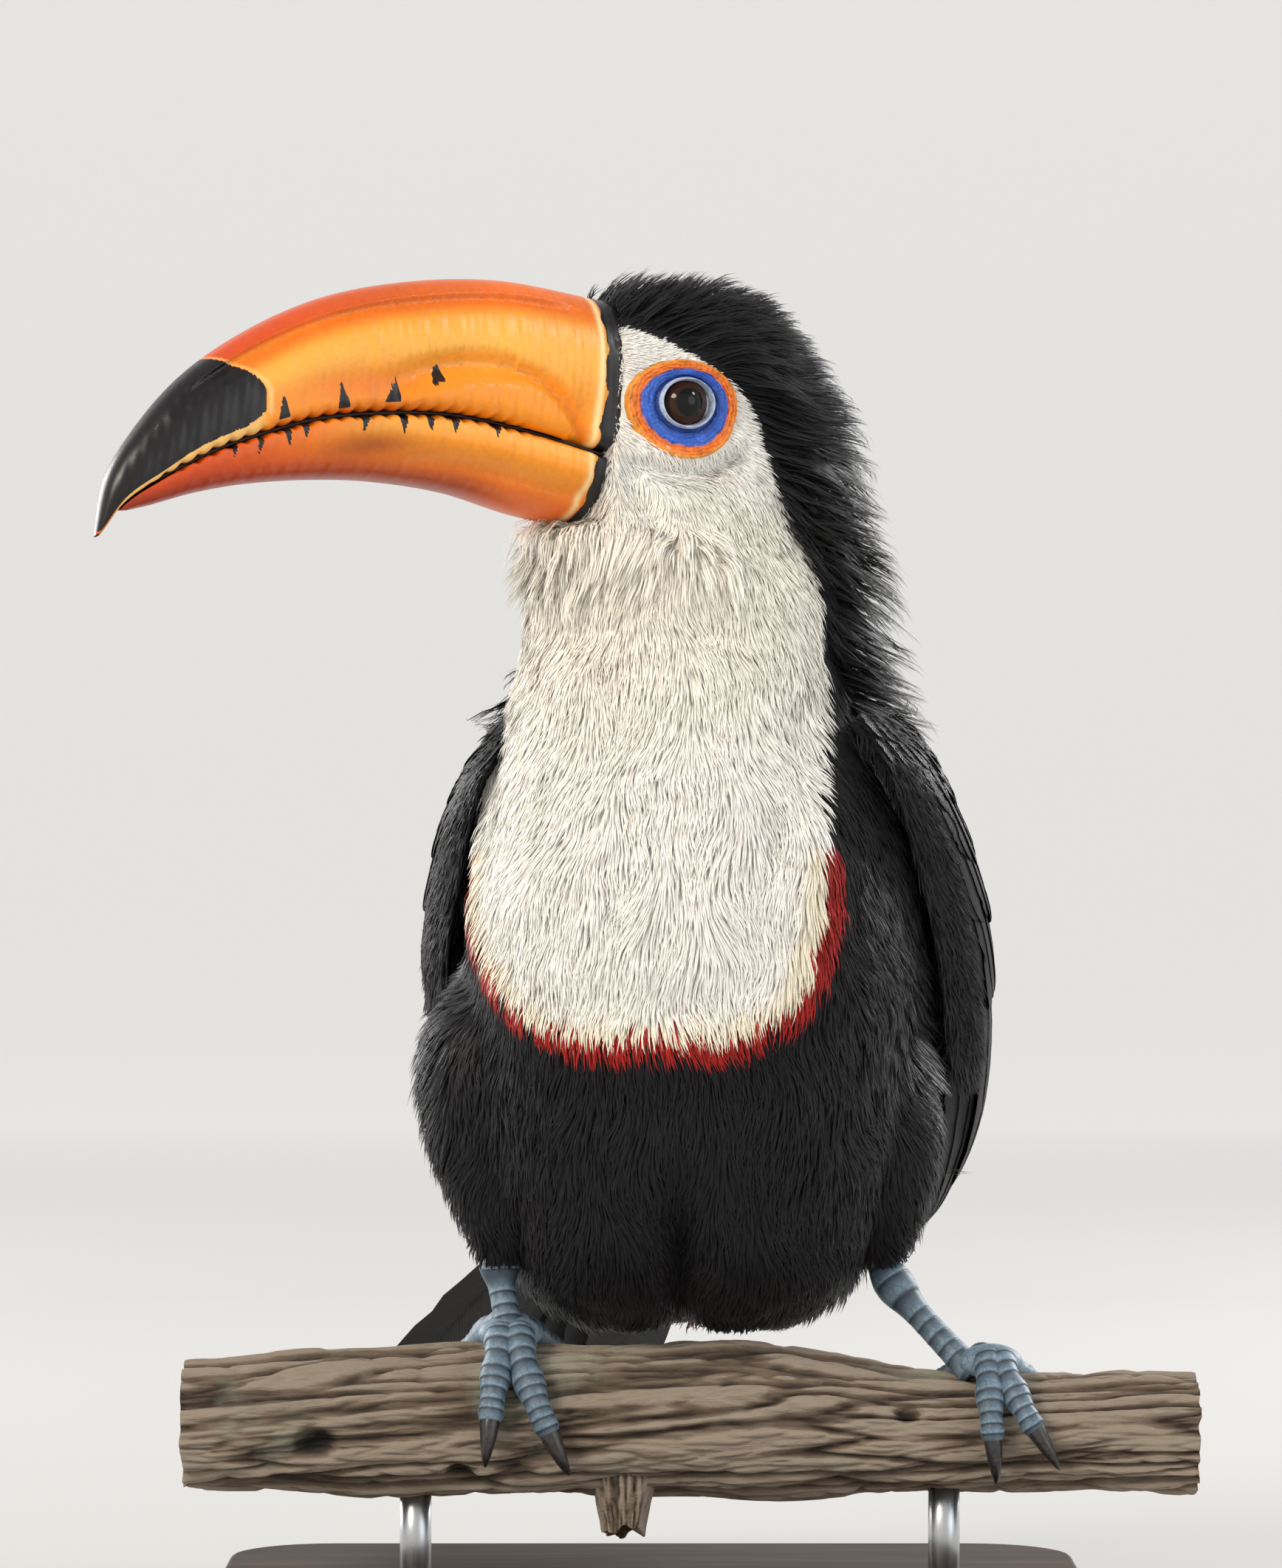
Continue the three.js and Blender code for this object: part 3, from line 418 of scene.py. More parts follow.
def drawn_bmesh(around, rings, place, bm=None, layer="", flat=True):
    """A sphere whose net is drawn over a closed form: place(u, t, end) gives points, in mm, at share u round.

    t is the share along the form, and end marks its first and last rings, which are single points. On a form
    with flat ends those are the ends' middles, so t runs between the rings beside them. Where a layer is
    named, place gives a number for each point too, which is kept in that layer.
    """
    bm = bm or bmesh.new()
    if layer and not bm.verts.layers.float.get(layer):
        bm.verts.layers.float.new(layer)
    made = bmesh.ops.create_uvsphere(bm, u_segments=around, v_segments=rings, radius=1)["verts"]
    co = np.array([v.co for v in made])
    u = np.round((np.arctan2(co[:, 1], co[:, 0]) / TURN) % 1 * around) / around
    ring = np.round(np.arccos(np.clip(-co[:, 2], -1, 1)) / math.pi * rings)
    t = np.clip((ring - 1) / (rings - 2), 0, 1) if flat else ring / rings
    drawn = place(u, t, (ring == 0) | (ring == rings))
    points, values = drawn if layer else (drawn, 0 * u)
    kept = bm.verts.layers.float.get(layer) if layer else None
    for vertex, point, value in zip(made, placed(points), values):
        vertex.co = point
        if kept:
            vertex[kept] = value
    return bm


def finished(bm, name, smooth=True):
    """Closes a bmesh: normals out, smooth faces, and a mesh of that name."""
    bmesh.ops.recalc_face_normals(bm, faces=bm.faces)
    for face in bm.faces:
        face.smooth = smooth
    mesh = bpy.data.meshes.new(name)
    bm.to_mesh(mesh)
    bm.free()
    return mesh


def keep_values(mesh, name, values, kind="FLOAT", field="value"):
    """Keeps a number for each point, or a colour, as an attribute that a material reads."""
    attribute = mesh.attributes.new(name, kind, "POINT")
    attribute.data.foreach_set(field, np.asarray(values, np.float32).ravel())


def paint(mesh, name, colours):
    colours = np.array(colours, float)
    colours[:, 3] = 1
    keep_values(mesh, name, colours, "FLOAT_COLOR", "color")


def mesh_from(name, points, faces, uvs, normals=None):
    """A joined mesh from arrays: points in mm, faces of three or four corners, and UV maps by point."""
    mesh = bpy.data.meshes.new(name)
    mesh.vertices.add(len(points))
    mesh.vertices.foreach_set("co", placed(points).astype(np.float32).ravel())
    mesh.loops.add(faces.size)
    mesh.loops.foreach_set("vertex_index", faces.astype(np.int32).ravel())
    mesh.polygons.add(len(faces))
    mesh.polygons.foreach_set("loop_start", np.arange(0, faces.size, faces.shape[1], dtype=np.int32))
    for uv_name, uv in uvs.items():
        layer = mesh.uv_layers.new(name=uv_name)
        layer.data.foreach_set("uv", uv[faces.ravel()].astype(np.float32).ravel())
    mesh.update(calc_edges=True)
    mesh.validate()
    mesh.polygons.foreach_set("use_smooth", np.ones(len(mesh.polygons), bool))
    if normals is not None:
        mesh.normals_split_custom_set_from_vertices(normals.astype(np.float32))
    return mesh


# ---------------------------------------------------------------- materials
# A noise of scale S repeats about every 1000 / S mm.
def connect(tree, node, sockets):
    """Gives a node's sockets their values, or links from other nodes' outputs."""
    for key, value in sockets.items():
        if isinstance(value, bpy.types.NodeSocket):
            tree.links.new(value, node.inputs[key])
        else:
            node.inputs[key].default_value = value


def add_node(tree, kind, sockets=None, output=0, stops=(), **settings):
    """Adds a node with its settings, its sockets and its colour stops, and gives one of its outputs."""
    made = tree.nodes.new("ShaderNode" + kind)
    for key, value in settings.items():
        setattr(made, key, value)
    connect(tree, made, sockets or {})
    while stops and len(made.color_ramp.elements) < len(stops):
        made.color_ramp.elements.new(0.5)
    for k, (position, colour) in enumerate(stops):
        made.color_ramp.elements[k].position = position
        made.color_ramp.elements[k].color = linear(colour)
    return made.outputs[output]


def new_material(name):
    material = bpy.data.materials.new(name)
    material.use_nodes = True
    return material, material.node_tree


def dressed(material, **sockets):
    """Links or sets the shader's sockets, whose names have underscores here for spaces."""
    tree = material.node_tree
    named = {key.replace("_", " "): value for key, value in sockets.items()}
    connect(tree, tree.nodes["Principled BSDF"], named)
    return material


def toned(tree, colour, *tones):
    """A colour made darker or paler by tones, which are multiplied."""
    tone = tones[0]
    for more in tones[1:]:
        tone = add_node(tree, "Math", {0: tone, 1: more}, operation="MULTIPLY")
    return add_node(tree, "VectorMath", {0: colour, "Scale": tone}, operation="SCALE")


DRIFT = {"From Min": 0.3, "From Max": 0.7}  # where most of a noise's values lie


def feather_material(name, roughness, sheen, gloss):
    """Keratin barbs, grown: matt along the feather, with a soft sheen at grazing light."""
    material, tree = new_material(name)
    place = add_node(tree, "TexCoord", output="Object")
    mottle = add_node(tree, "TexNoise", {"Vector": place, "Scale": 420.0, "Detail": 3.0})
    tone = add_node(tree, "MapRange", {"Value": mottle, **DRIFT, "To Min": 0.93, "To Max": 1.05})
    colour = toned(tree, add_node(tree, "Attribute", attribute_name="coat_colour"), tone)
    return dressed(material, Base_Color=colour, Roughness=roughness, Sheen_Weight=sheen, Sheen_Roughness=0.45,
                   Specular_IOR_Level=gloss)


BARB_PITCH = 0.9  # mm between the barbs that show; real ones are finer than the render can draw
CLUMP_PITCH = 2.6  # mm between the bands where barbs lie closer or looser
BARB_LEAN = -1.5  # how far the barbs run towards the tip as they run out
VANE_UNIT = 100.0  # mm for 1 on the map Vane


def vane_material(name):
    """Keratin flight feathers: closed vanes whose barbs run out from the shaft, with a satin face."""
    material, tree = new_material(name)
    across = add_node(tree, "SeparateXYZ", {0: add_node(tree, "UVMap", uv_map="Vane")})
    out = add_node(tree, "Math", {0: across}, operation="ABSOLUTE")
    lean = add_node(tree, "Math", {0: out, 1: BARB_LEAN, 2: across.node.outputs["Y"]},
                    operation="MULTIPLY_ADD")
    wave = add_node(tree, "Math", {0: lean, 1: VANE_UNIT / BARB_PITCH * TURN}, operation="MULTIPLY")
    barbs = add_node(tree, "Math", {0: wave}, operation="SINE")
    bake = add_node(tree, "UVMap", uv_map="OFBake")
    apart = add_node(tree, "VectorMath", {0: bake, "Scale": 50.0}, operation="SCALE")
    along_barb = add_node(tree, "CombineXYZ", {"X": lean, "Y": across})
    spot = add_node(tree, "VectorMath", {0: along_barb, 1: (VANE_UNIT / CLUMP_PITCH, 8.0, 0.0), 2: apart},
                    operation="MULTIPLY_ADD")
    clumps = add_node(tree, "TexNoise", {"Vector": spot, "Scale": 1.0, "Detail": 3.0})
    streak = add_node(tree, "MapRange", {"Value": clumps, "From Min": 0.32, "From Max": 0.68, "To Min": 0.6,
                                         "To Max": 1.4})
    height = add_node(tree, "Math", {0: streak, 1: 2.5, 2: barbs}, operation="MULTIPLY_ADD")
    bump = add_node(tree, "Bump", {"Height": height, "Strength": 0.7, "Distance": 0.0003})
    # Painted shade and highlight: the colour follows the barbs' wave and the clumps' streaks that the bump
    # raises, darker in the grooves and paler on the crests.
    barb_shading = add_node(tree, "MapRange", {"Value": barbs, "From Min": -1.0, "From Max": 1.0, "To Min": 0.6,
                                       "To Max": 1.15})
    colour = toned(tree, add_node(tree, "Attribute", attribute_name="coat_colour"), barb_shading, streak)
    return dressed(material, Base_Color=colour, Roughness=0.42, Sheen_Weight=0.03, Sheen_Roughness=0.4,
                   Normal=bump, Specular_IOR_Level=0.28)


def orbit_material():
    """Bare living skin round the eye: thin, creased and slightly moist."""
    material, tree = new_material("bare_eye_skin")
    place = add_node(tree, "TexCoord", output="Object")
    pores = add_node(tree, "TexVoronoi", {"Vector": place, "Scale": 1300.0})
    bump = add_node(tree, "Bump", {"Height": pores, "Strength": 0.7, "Distance": 0.0003})
    colour = add_node(tree, "Attribute", attribute_name="skin_colour")
    return dressed(material, Base_Color=colour, Roughness=0.42, Normal=bump, Subsurface_Weight=0.12,
                   Subsurface_Scale=0.002, Subsurface_Radius=(1.0, 0.35, 0.2))


def eye_material():
    """A living eye: dark brown iris and black pupil under a wet clear cornea."""
    material, tree = new_material("eye_cornea")
    off_axis = add_node(tree, "Attribute", output="Fac", attribute_name="off_gaze")
    iris = add_node(tree, "ValToRGB", {"Fac": off_axis}, stops=(
        (0.0, "#020202"), (0.31, "#030202"), (0.34, "#2c1407"), (0.48, "#43200b"), (0.57, "#1b0b05"),
        (0.63, "#060303")))
    return dressed(material, Base_Color=iris, Roughness=0.5, Coat_Weight=1.0, Coat_Roughness=0.015,
                   Coat_IOR=1.38, Specular_IOR_Level=0.0)


def bill_material(name):
    """Keratin sheath over bone: satin orange horn with a black base and tip spot, and growth lines."""
    material, tree = new_material(name)
    place = add_node(tree, "TexCoord", output="Object")
    drift = add_node(tree, "TexNoise", {"Vector": place, "Scale": 28.0, "Detail": 4.0})
    grain_place = add_node(tree, "Mapping", {"Vector": place, "Rotation": (0, 0, math.radians(HEADING)),
                                             "Scale": (1.0, 0.12, 1.0)})
    grain = add_node(tree, "TexNoise", {"Vector": grain_place, "Scale": 700.0, "Detail": 5.0})
    tone = add_node(tree, "MapRange", {"Value": drift, **DRIFT, "To Min": 0.88, "To Max": 1.1})
    streak = add_node(tree, "MapRange", {"Value": grain, **DRIFT, "To Min": 0.93, "To Max": 1.05})
    horn = toned(tree, add_node(tree, "Attribute", attribute_name="bill_colour"), tone, streak)
    black = add_node(tree, "Attribute", output="Fac", attribute_name="bill_black")
    ragged = add_node(tree, "Math", {0: drift, 1: 0.3, 2: black}, operation="MULTIPLY_ADD")
    edge = add_node(tree, "MapRange", {"Value": ragged, "From Min": 0.6, "From Max": 0.7})
    colour = add_node(tree, "Mix", {"Factor": edge, 6: horn, 7: linear("#120e10")}, output=2,
                      data_type="RGBA")
    bump = add_node(tree, "Bump", {"Height": grain, "Strength": 0.12, "Distance": 0.0003})
    rough = add_node(tree, "MapRange", {"Value": grain, "To Min": 0.26, "To Max": 0.44})
    return dressed(material, Base_Color=colour, Roughness=rough, Normal=bump, Specular_IOR_Level=0.38,
                   Coat_Weight=0.12, Coat_Roughness=0.25)


def leg_material():
    """Scaly leg skin: dry blue-grey scutes with darker creases between them."""
    material, tree = new_material("scaled_leg_skin")
    place = add_node(tree, "TexCoord", output="Object")
    scales = add_node(tree, "TexVoronoi", {"Vector": place, "Scale": 480.0}, feature="DISTANCE_TO_EDGE")
    line = add_node(tree, "MapRange", {"Value": scales, "From Max": 0.1, "To Min": 0.72})
    crease = add_node(tree, "Attribute", output="Fac", attribute_name="crease")
    depth = add_node(tree, "Math", {0: line, 1: crease}, operation="MULTIPLY")
    scaled = add_node(tree, "ValToRGB", {"Fac": depth},
                      stops=((0.1, "#353f49"), (0.6, "#5f7383"), (1.0, "#889dac")))
    worn = add_node(tree, "TexNoise", {"Vector": place, "Scale": 240.0, "Detail": 3.0})
    tone = add_node(tree, "MapRange", {"Value": worn, **DRIFT, "To Min": 0.78, "To Max": 1.12})
    colour = toned(tree, scaled, tone)
    bump = add_node(tree, "Bump", {"Height": line, "Strength": 0.4, "Distance": 0.0002})
    return dressed(material, Base_Color=colour, Roughness=0.5, Normal=bump)


def plain_horn(name, scale, detail, stops, **sockets):
    """Horn or soft lining in one dull tone that drifts between two colours."""
    material, tree = new_material(name)
    place = add_node(tree, "TexCoord", output="Object")
    grain = add_node(tree, "TexNoise", {"Vector": place, "Scale": scale, "Detail": detail})
    return dressed(material, Base_Color=add_node(tree, "ValToRGB", {"Fac": grain}, stops=stops), **sockets)


def bark_material():
    """Weathered bark: grey-brown plates over darker fissures, dry and rough."""
    material, tree = new_material("weathered_bark")
    place = add_node(tree, "TexCoord", output="Object")
    stretched = add_node(tree, "Mapping", {"Vector": place, "Scale": (0.18, 1.0, 1.0)})
    fibre = add_node(tree, "TexNoise", {"Vector": stretched, "Scale": 520.0, "Detail": 8.0,
                                        "Roughness": 0.65})
    patches = add_node(tree, "TexNoise", {"Vector": place, "Scale": 38.0, "Detail": 4.0})
    height = add_node(tree, "Attribute", output="Fac", attribute_name="bark_height")
    blend = add_node(tree, "Math", {0: fibre, 1: 0.6, 2: height}, operation="MULTIPLY_ADD")
    bark = add_node(tree, "ValToRGB", {"Fac": blend}, stops=(
        (0.16, "#130e0a"), (0.5, "#43372c"), (0.85, "#7b6a58"), (1.0, "#9c8d7c")))
    lichen = add_node(tree, "MapRange", {"Value": patches, "From Min": 0.58, "From Max": 0.7, "To Max": 0.45})
    grown = add_node(tree, "Mix", {"Factor": lichen, 6: bark, 7: linear("#9aa08c")}, output=2,
                     data_type="RGBA")
    bump = add_node(tree, "Bump", {"Height": fibre, "Strength": 1.0, "Distance": 0.0012})
    return dressed(material, Base_Color=grown, Roughness=0.88, Normal=bump)


GROWTH_RINGS = 13


def sawn_material():
    """Sawn end grain: pale dry wood with growth rings."""
    material, tree = new_material("sawn_end_grain")
    ring = add_node(tree, "Attribute", output="Fac", attribute_name="growth")
    place = add_node(tree, "TexCoord", output="Object")
    fray = add_node(tree, "TexNoise", {"Vector": place, "Scale": 300.0, "Detail": 4.0})
    turn = add_node(tree, "Math", {0: fray, 1: 0.12, 2: ring}, operation="MULTIPLY_ADD")
    wave = add_node(tree, "Math", {0: turn, 1: GROWTH_RINGS * TURN}, operation="MULTIPLY")
    rings = add_node(tree, "Math", {0: wave}, operation="SINE")
    colour = add_node(tree, "ValToRGB", {"Fac": rings},
                      stops=((0.0, "#8a6a48"), (0.6, "#b3936b"), (1.0, "#c3a67e")))
    bump = add_node(tree, "Bump", {"Height": rings, "Strength": 0.3, "Distance": 0.0003})
    return dressed(material, Base_Color=colour, Roughness=0.8, Normal=bump)


def walnut_material():
    """Stained walnut under satin lacquer: dark, with long straight figure."""
    material, tree = new_material("lacquered_walnut")
    place = add_node(tree, "TexCoord", output="Object")
    stretched = add_node(tree, "Mapping", {"Vector": place, "Scale": (0.1, 1.0, 1.0)})
    figure = add_node(tree, "TexNoise", {"Vector": stretched, "Scale": 130.0, "Detail": 6.0,
                                         "Distortion": 0.6})
    colour = add_node(tree, "ValToRGB", {"Fac": figure},
                      stops=((0.3, "#20150f"), (0.55, "#3a281c"), (0.75, "#523a29")))
    bump = add_node(tree, "Bump", {"Height": figure, "Strength": 0.08, "Distance": 0.0002})
    return dressed(material, Base_Color=colour, Roughness=0.55, Normal=bump, Specular_IOR_Level=0.3)


def steel_material():
    """Stainless rod, brushed along its length."""
    material, tree = new_material("brushed_stainless_steel")
    place = add_node(tree, "TexCoord", output="Object")
    stretched = add_node(tree, "Mapping", {"Vector": place, "Scale": (1.0, 1.0, 0.03)})
    scratch = add_node(tree, "TexNoise", {"Vector": stretched, "Scale": 2500.0, "Detail": 2.0})
    rough = add_node(tree, "MapRange", {"Value": scratch, "To Min": 0.2, "To Max": 0.42})
    bump = add_node(tree, "Bump", {"Height": scratch, "Strength": 0.1, "Distance": 0.0001})
    return dressed(material, Base_Color=linear("#c2c4c6"), Metallic=1.0, Roughness=rough, Normal=bump)


def studio_material():
    """Matt painted studio cove, lit evenly from behind like a light tent."""
    material, tree = new_material("matt_white_paint")
    place = add_node(tree, "TexCoord", output="Object")
    roll = add_node(tree, "TexNoise", {"Vector": place, "Scale": 300.0})
    bump = add_node(tree, "Bump", {"Height": roll, "Strength": 0.03, "Distance": 0.0005})
    away = add_node(tree, "VectorMath", {0: place}, output="Value", operation="LENGTH")
    glow = add_node(tree, "MapRange", {"Value": away, "From Min": 1.2, "From Max": 2.7, "To Min": 0.24,
                                       "To Max": 0.53})
    material.cycles.emission_sampling = "NONE"
    return dressed(material, Base_Color=linear("#9c9b99"), Roughness=0.9, Normal=bump,
                   Emission_Color=linear("#fdfcf9"), Emission_Strength=glow)


BLACK_COAT = feather_material("black_contour_feather", 0.46, 0.1, 0.26)
WHITE_COAT = feather_material("white_contour_feather", 0.7, 0.12, 0.25)
VANE = vane_material("flight_feather")
SKIN = feather_material("down_and_skin", 0.8, 0.0, 0.2)
EYE_SKIN = orbit_material()
EYE = eye_material()
LEG_SKIN = leg_material()
# Horn claws, worn smooth: near black, drifting paler in places.
CLAW = plain_horn("claw_horn", 900.0, 3.0, ((0.3, "#141213"), (0.7, "#37322f")), Roughness=0.3,
                  Coat_Weight=0.3, Coat_Roughness=0.25)
# The mouth's soft dark lining.
LINING = plain_horn("mouth_lining", 400.0, 2.0, ((0.3, "#150d0b"), (0.7, "#2a1914")), Roughness=0.6)
BARK = bark_material()


# ---------------------------------------------------------------- skin
THIGH_DEPTH = 3.0
SKIN_CROWD = 0.55  # how far the skin's rings crowd towards belly and crown
# Painted shade: the skin between the feathers is painted darker than their colour.
SKIN_SHADE = 0.8  # how dark the skin is between the feathers, as a share of their colour
VOXEL = 1.5
WING_CORE = 0.78  # share of the wing's length that the skin's own wing reaches
SHELF = 228.8  # above this the face ends at the bill's plane, and below it the throat runs on under the bill
CLEFT_X, CLEFT_DEPTH, CLEFT_WIDE = 0.0, 15.0, 6.5
# Soft hollows in the bib: across, level, half width, half height, depth.
HOLLOWS = [(-30.8, 197.4, 11, 6, 3.8), (7.2, 198.8, 8, 5, 3.6), (-20.1, 168, 8, 7, 3.2),
           (3.9, 133.2, 7, 5, 2.8), (29.2, 142, 4, 7, 2.8), (-18.7, 119, 4, 11, 3.4), (-38, 118, 6, 9, 2.4),
           (34, 170, 5, 9, 2.2)]
# Folds of the cheek in the head's frame: their lines by reach and level, half width and depth.
FOLDS = [([(32, 247.2), (24.7, 245.7), (18.9, 244.3), (12.7, 244.3), (3.5, 246.8), (-4, 250.1)], 2.6, 5.6),
         ([(33, 251), (24, 250.4), (15, 249.4), (6, 250.6), (-3, 254)], 2.0, -2.2),
         ([(34, 242), (30.8, 234.7), (28, 226)], 3.4, 4.6)]


def off_line(x, y, line):
    """Distance from a line of straight pieces."""
    best = np.full(len(x), np.inf)
    for (x0, y0), (x1, y1) in zip(line, line[1:]):
        t = np.clip(((x - x0) * (x1 - x0) + (y - y0) * (y1 - y0)) / ((x1 - x0) ** 2 + (y1 - y0) ** 2), 0, 1)
        best = np.minimum(best, np.hypot(x - x0 - t * (x1 - x0), y - y0 - t * (y1 - y0)))
    return best


def relief(points):
    """Millimetres that the bib and cheeks stand out or are drawn in."""
    level = points[:, 2]
    inside = white_depth(points)
    low = (1 - ease(level, 135, 175)) * (inside > -6) * (inside < 60)
    out = low * (2.3 * hill(inside, 3.5, 4) - 2.1 * hill(inside, 14.5, 6))
    front = points[:, 1] < -15
    for x, z, wide, tall, depth in HOLLOWS:
        out -= front * depth * hill(points[:, 0], x, wide) * hill(level, z, tall)
    reach = head_reach(points)
    cheek = (np.abs((points - HEAD) @ HEAD_LEFT) > 11) * (level > 215)
    for line, wide, depth in FOLDS:
        out -= cheek * depth * hill(off_line(reach, level, line), 0, wide)
    return out


def coat_depth(points):
    return np.interp(points[:, 2], [0, 190, 235, 262, 294], [3.4, 3.0, 1.8, 1.1, 0.9])


def body_place(u, t, end):
    """The body under its coat: slimmer than the plumage, cleft between the legs, cut off behind the bill."""
    low, high = BELLY_LOW + 2.5, CROWN_HIGH - 0.8
    level = low + (high - low) * (t - SKIN_CROWD * np.sin(t * TURN) / TURN)
    level = np.clip(level, BELLY_LOW + 0.05, CROWN_HIGH - 0.05)
    first = body_point(u, level)
    points = body_point(u, level, -coat_depth(first))
    points += unit(first * [1, 1, 0]) * relief(first)[:, None]
    inner = hill(points[:, 0], CLEFT_X, CLEFT_WIDE) * (points[:, 1] < 10)
    lobes = hill(np.abs(points[:, 0] - CLEFT_X), 22, 13) * hill(level, 22, 16)
    points[:, 1] += CLEFT_DEPTH * inner * (1 - ease(level, 18, 62)) - 3.0 * lobes * (points[:, 1] < -10)
    level = level + 4 * inner * (1 - ease(level, 2, 16))
    points[:, 2] = level
    over = np.maximum(0, head_reach(points) - face_plane(level) + 0.6) * (level > SHELF)
    return points - over[:, None] * HEAD_AHEAD


def thigh_place(leg):
    rows = np.array(leg["thigh"], float)
    line = line_through(rows[:, :3])
    radii = np.column_stack([np.linspace(0, 1, len(rows)), rows[:, 3]])

    def place(u, t, end):
        radius = (through(radii, t)[:, 1] * np.where(t <= 0, 0.6, 1) - THIGH_DEPTH) * ~end
        ahead, aside = np.eye(3)[:2]
        return oval_point(along(line, t, even=False), u * TURN, ahead, radius, aside, radius)

    return place


def wing_surface(side):
    """The folded wing's face: at(p, q) gives points at share p towards the tip and q from front to back."""
    ahead, left = axes(np.float64(WING_YAW))
    shift, flare_at, flare_reach = FLARE[side]

    def at(p, q):
        p, q = np.broadcast_arrays(p, q)
        shape, p, q = p.shape, p.ravel(), q.ravel()
        _, level, *lines = through(WING, p).T

        def bend(front, middle, back):
            return (1 - q) ** 2 * front + 2 * q * (1 - q) * (2 * middle - (front + back) / 2) + q**2 * back

        points = side * bend(*lines[0::2])[:, None] * left - bend(*lines[1::2])[:, None] * ahead
        points[:, 0] += WING_CENTRE + TUCK[side] * hill(p, 0.1, 0.14) + shift * hill(p, flare_at, flare_reach)
        points[:, 2] = level + LIFT[side] * p**2
        return points.reshape(*shape, 3)

    return at


def wing_normal(surface, side, p, q):
    step = 0.01
    p, q = np.clip(p, 0.02, 0.98), np.clip(q, 0.02, 0.98)
    cross = np.cross(surface(p + step, q) - surface(p - step, q), surface(p, q + step) - surface(p, q - step))
    normal = unit(cross)
    outwards = axes(np.float64(WING_YAW))[1] * side
    return np.where(dot(normal, outwards) < 0, -normal, normal)


def plumage_height(p):
    return 8.8 * (1 - p) + 0.3


def wing_place(side):
    """The flesh of a folded wing, thickest along its middle and thin at its edges."""
    surface = wing_surface(side)

    def place(u, share, end):
        p = share * WING_CORE
        outer = u < 0.5
        q = np.where(end, 0.5, 0.04 + 0.92 * np.where(outer, u * 2, 2 - u * 2))
        edge = np.sin(math.pi * q) ** 0.5
        height = 9.5 - 13.5 * p - plumage_height(p) - 2.6 * (1 - ease(p, 0, 0.5))
        depth = np.where(end, 2, np.where(outer, 1.2 * (1 - edge), 1 + (7 - 4 * share) * edge))
        return surface(p, q) + wing_normal(surface, side, p, q) * (height - depth)[:, None]

    return place


def tail_frame():
    """The ways down the tail, across it and off its upper face."""
    down = unit(TAIL_AIM)
    across = unit(np.array([down[1], -down[0], 0]))
    return down, across, np.cross(across, down)


def tail_place(u, t, end):
    down, across, above = tail_frame()
    middle = TAIL_ROOT + (-30 + 66 * t)[:, None] * down - 3 * above
    return oval_point(middle, u * TURN, across, (22 - 9 * t) * ~end, above, (14 - 12 * t**0.8) * ~end)


def make_skin():
    """Body, thighs, folded wings and tail root fused into one closed skin."""
    bm = drawn_bmesh(160, 170, body_place, flat=False)
    for leg in LEGS.values():
        drawn_bmesh(48, 40, thigh_place(leg), bm)
    for side in SIDES.values():
        drawn_bmesh(48, 40, wing_place(side), bm)
    drawn_bmesh(40, 24, tail_place, bm)
    holder = add_object("skin_parts", finished(bm, "skin_parts"))
    fuse = holder.modifiers.new("fuse", "REMESH")
    fuse.mode, fuse.voxel_size = "VOXEL", VOXEL * MM
    soften = holder.modifiers.new("soften", "SMOOTH")
    soften.factor, soften.iterations = 0.6, 3
    mesh = bpy.data.meshes.new_from_object(holder.evaluated_get(bpy.context.evaluated_depsgraph_get()))
    mesh.name = "skin"
    bpy.data.objects.remove(holder)
    mesh.polygons.foreach_set("use_smooth", np.ones(len(mesh.polygons), bool))
    # The skin takes the coat's markings, darkened as painted shade between the feathers.
    paint(mesh, "coat_colour", plumage_colour(spots_of(mesh)) * SKIN_SHADE)
    show("skin", mesh, [SKIN], ("head", "neck", "torso", "thigh_left", "thigh_right"))
    return mesh


class Ground:
    """The skin as something to stand feathers on: nearest points and normals, in mm."""

    def __init__(self, mesh):
        self.points = spots_of(mesh)
        mesh.calc_loop_triangles()
        corners = np.zeros(len(mesh.loop_triangles) * 3, np.int32)
        mesh.loop_triangles.foreach_get("vertices", corners)
        self.faces = corners.reshape(-1, 3)
        normals = np.zeros(len(mesh.vertices) * 3)
        mesh.vertex_normals.foreach_get("vector", normals)
        self.normals = normals.reshape(-1, 3)
        self.tree = BVHTree.FromPolygons(self.points.tolist(), self.faces.tolist(), all_triangles=True)

    def scatter(self, spacing, keep):
        """Roots spread evenly at a spacing that varies over the skin, where keep(points) allows."""
        a, b, c = (self.points[self.faces[:, k]] for k in range(3))
        centres = (a + b + c) / 3
        area = np.linalg.norm(np.cross(b - a, c - a), axis=1) / 2
        gap = spacing(centres)
        weight = area / gap**2 * keep(centres)
        count = int(weight.sum() * 3.2)
        chosen = draw.choice(len(area), count, p=weight / weight.sum())
        r1, r2 = draw.random(count) ** 0.5, draw.random(count)
        w = np.stack([1 - r1, r1 * (1 - r2), r1 * r2], -1)[:, :, None]
        points = (w * self.points[self.faces[chosen]]).sum(1)
        normals = unit((w * self.normals[self.faces[chosen]]).sum(1))
        tree = point_tree(points)
        radius = gap[chosen]
        alive = np.ones(count, bool)
        for i in range(count):
            if alive[i]:
                for _, j, _ in tree.find_range(points[i], radius[i]):
                    if j > i:
                        alive[j] = False
        return points[alive], normals[alive]

    def trails(self, roots, normals, lengths, steps=4):
        """Follows the skin from each root along the lie, and gives points and normals at even steps."""
        path, ups = [roots], [normals]
        for _ in range(steps):
            ahead = path[-1] + lie(path[-1], ups[-1]) * (lengths / steps)[:, None]
            found = [self.tree.find_nearest(p, 12) for p in ahead]
            path.append(np.array([f[0] if f[0] is not None else p for f, p in zip(found, ahead)]))
            fresh = np.array([f[1] if f[1] is not None else u for f, u in zip(found, ups[-1])])
            ups.append(unit(0.6 * fresh + 0.4 * ups[-1]))
        return np.stack(path, 1), np.stack(ups, 1)


def point_tree(points):
    tree = KDTree(len(points))
    for i, point in enumerate(points):
        tree.insert(point, i)
    tree.balance()
    return tree


# ---------------------------------------------------------------- the lie of the coat
def tangent(way, normals):
    return unit(way - dot(way, normals) * normals)


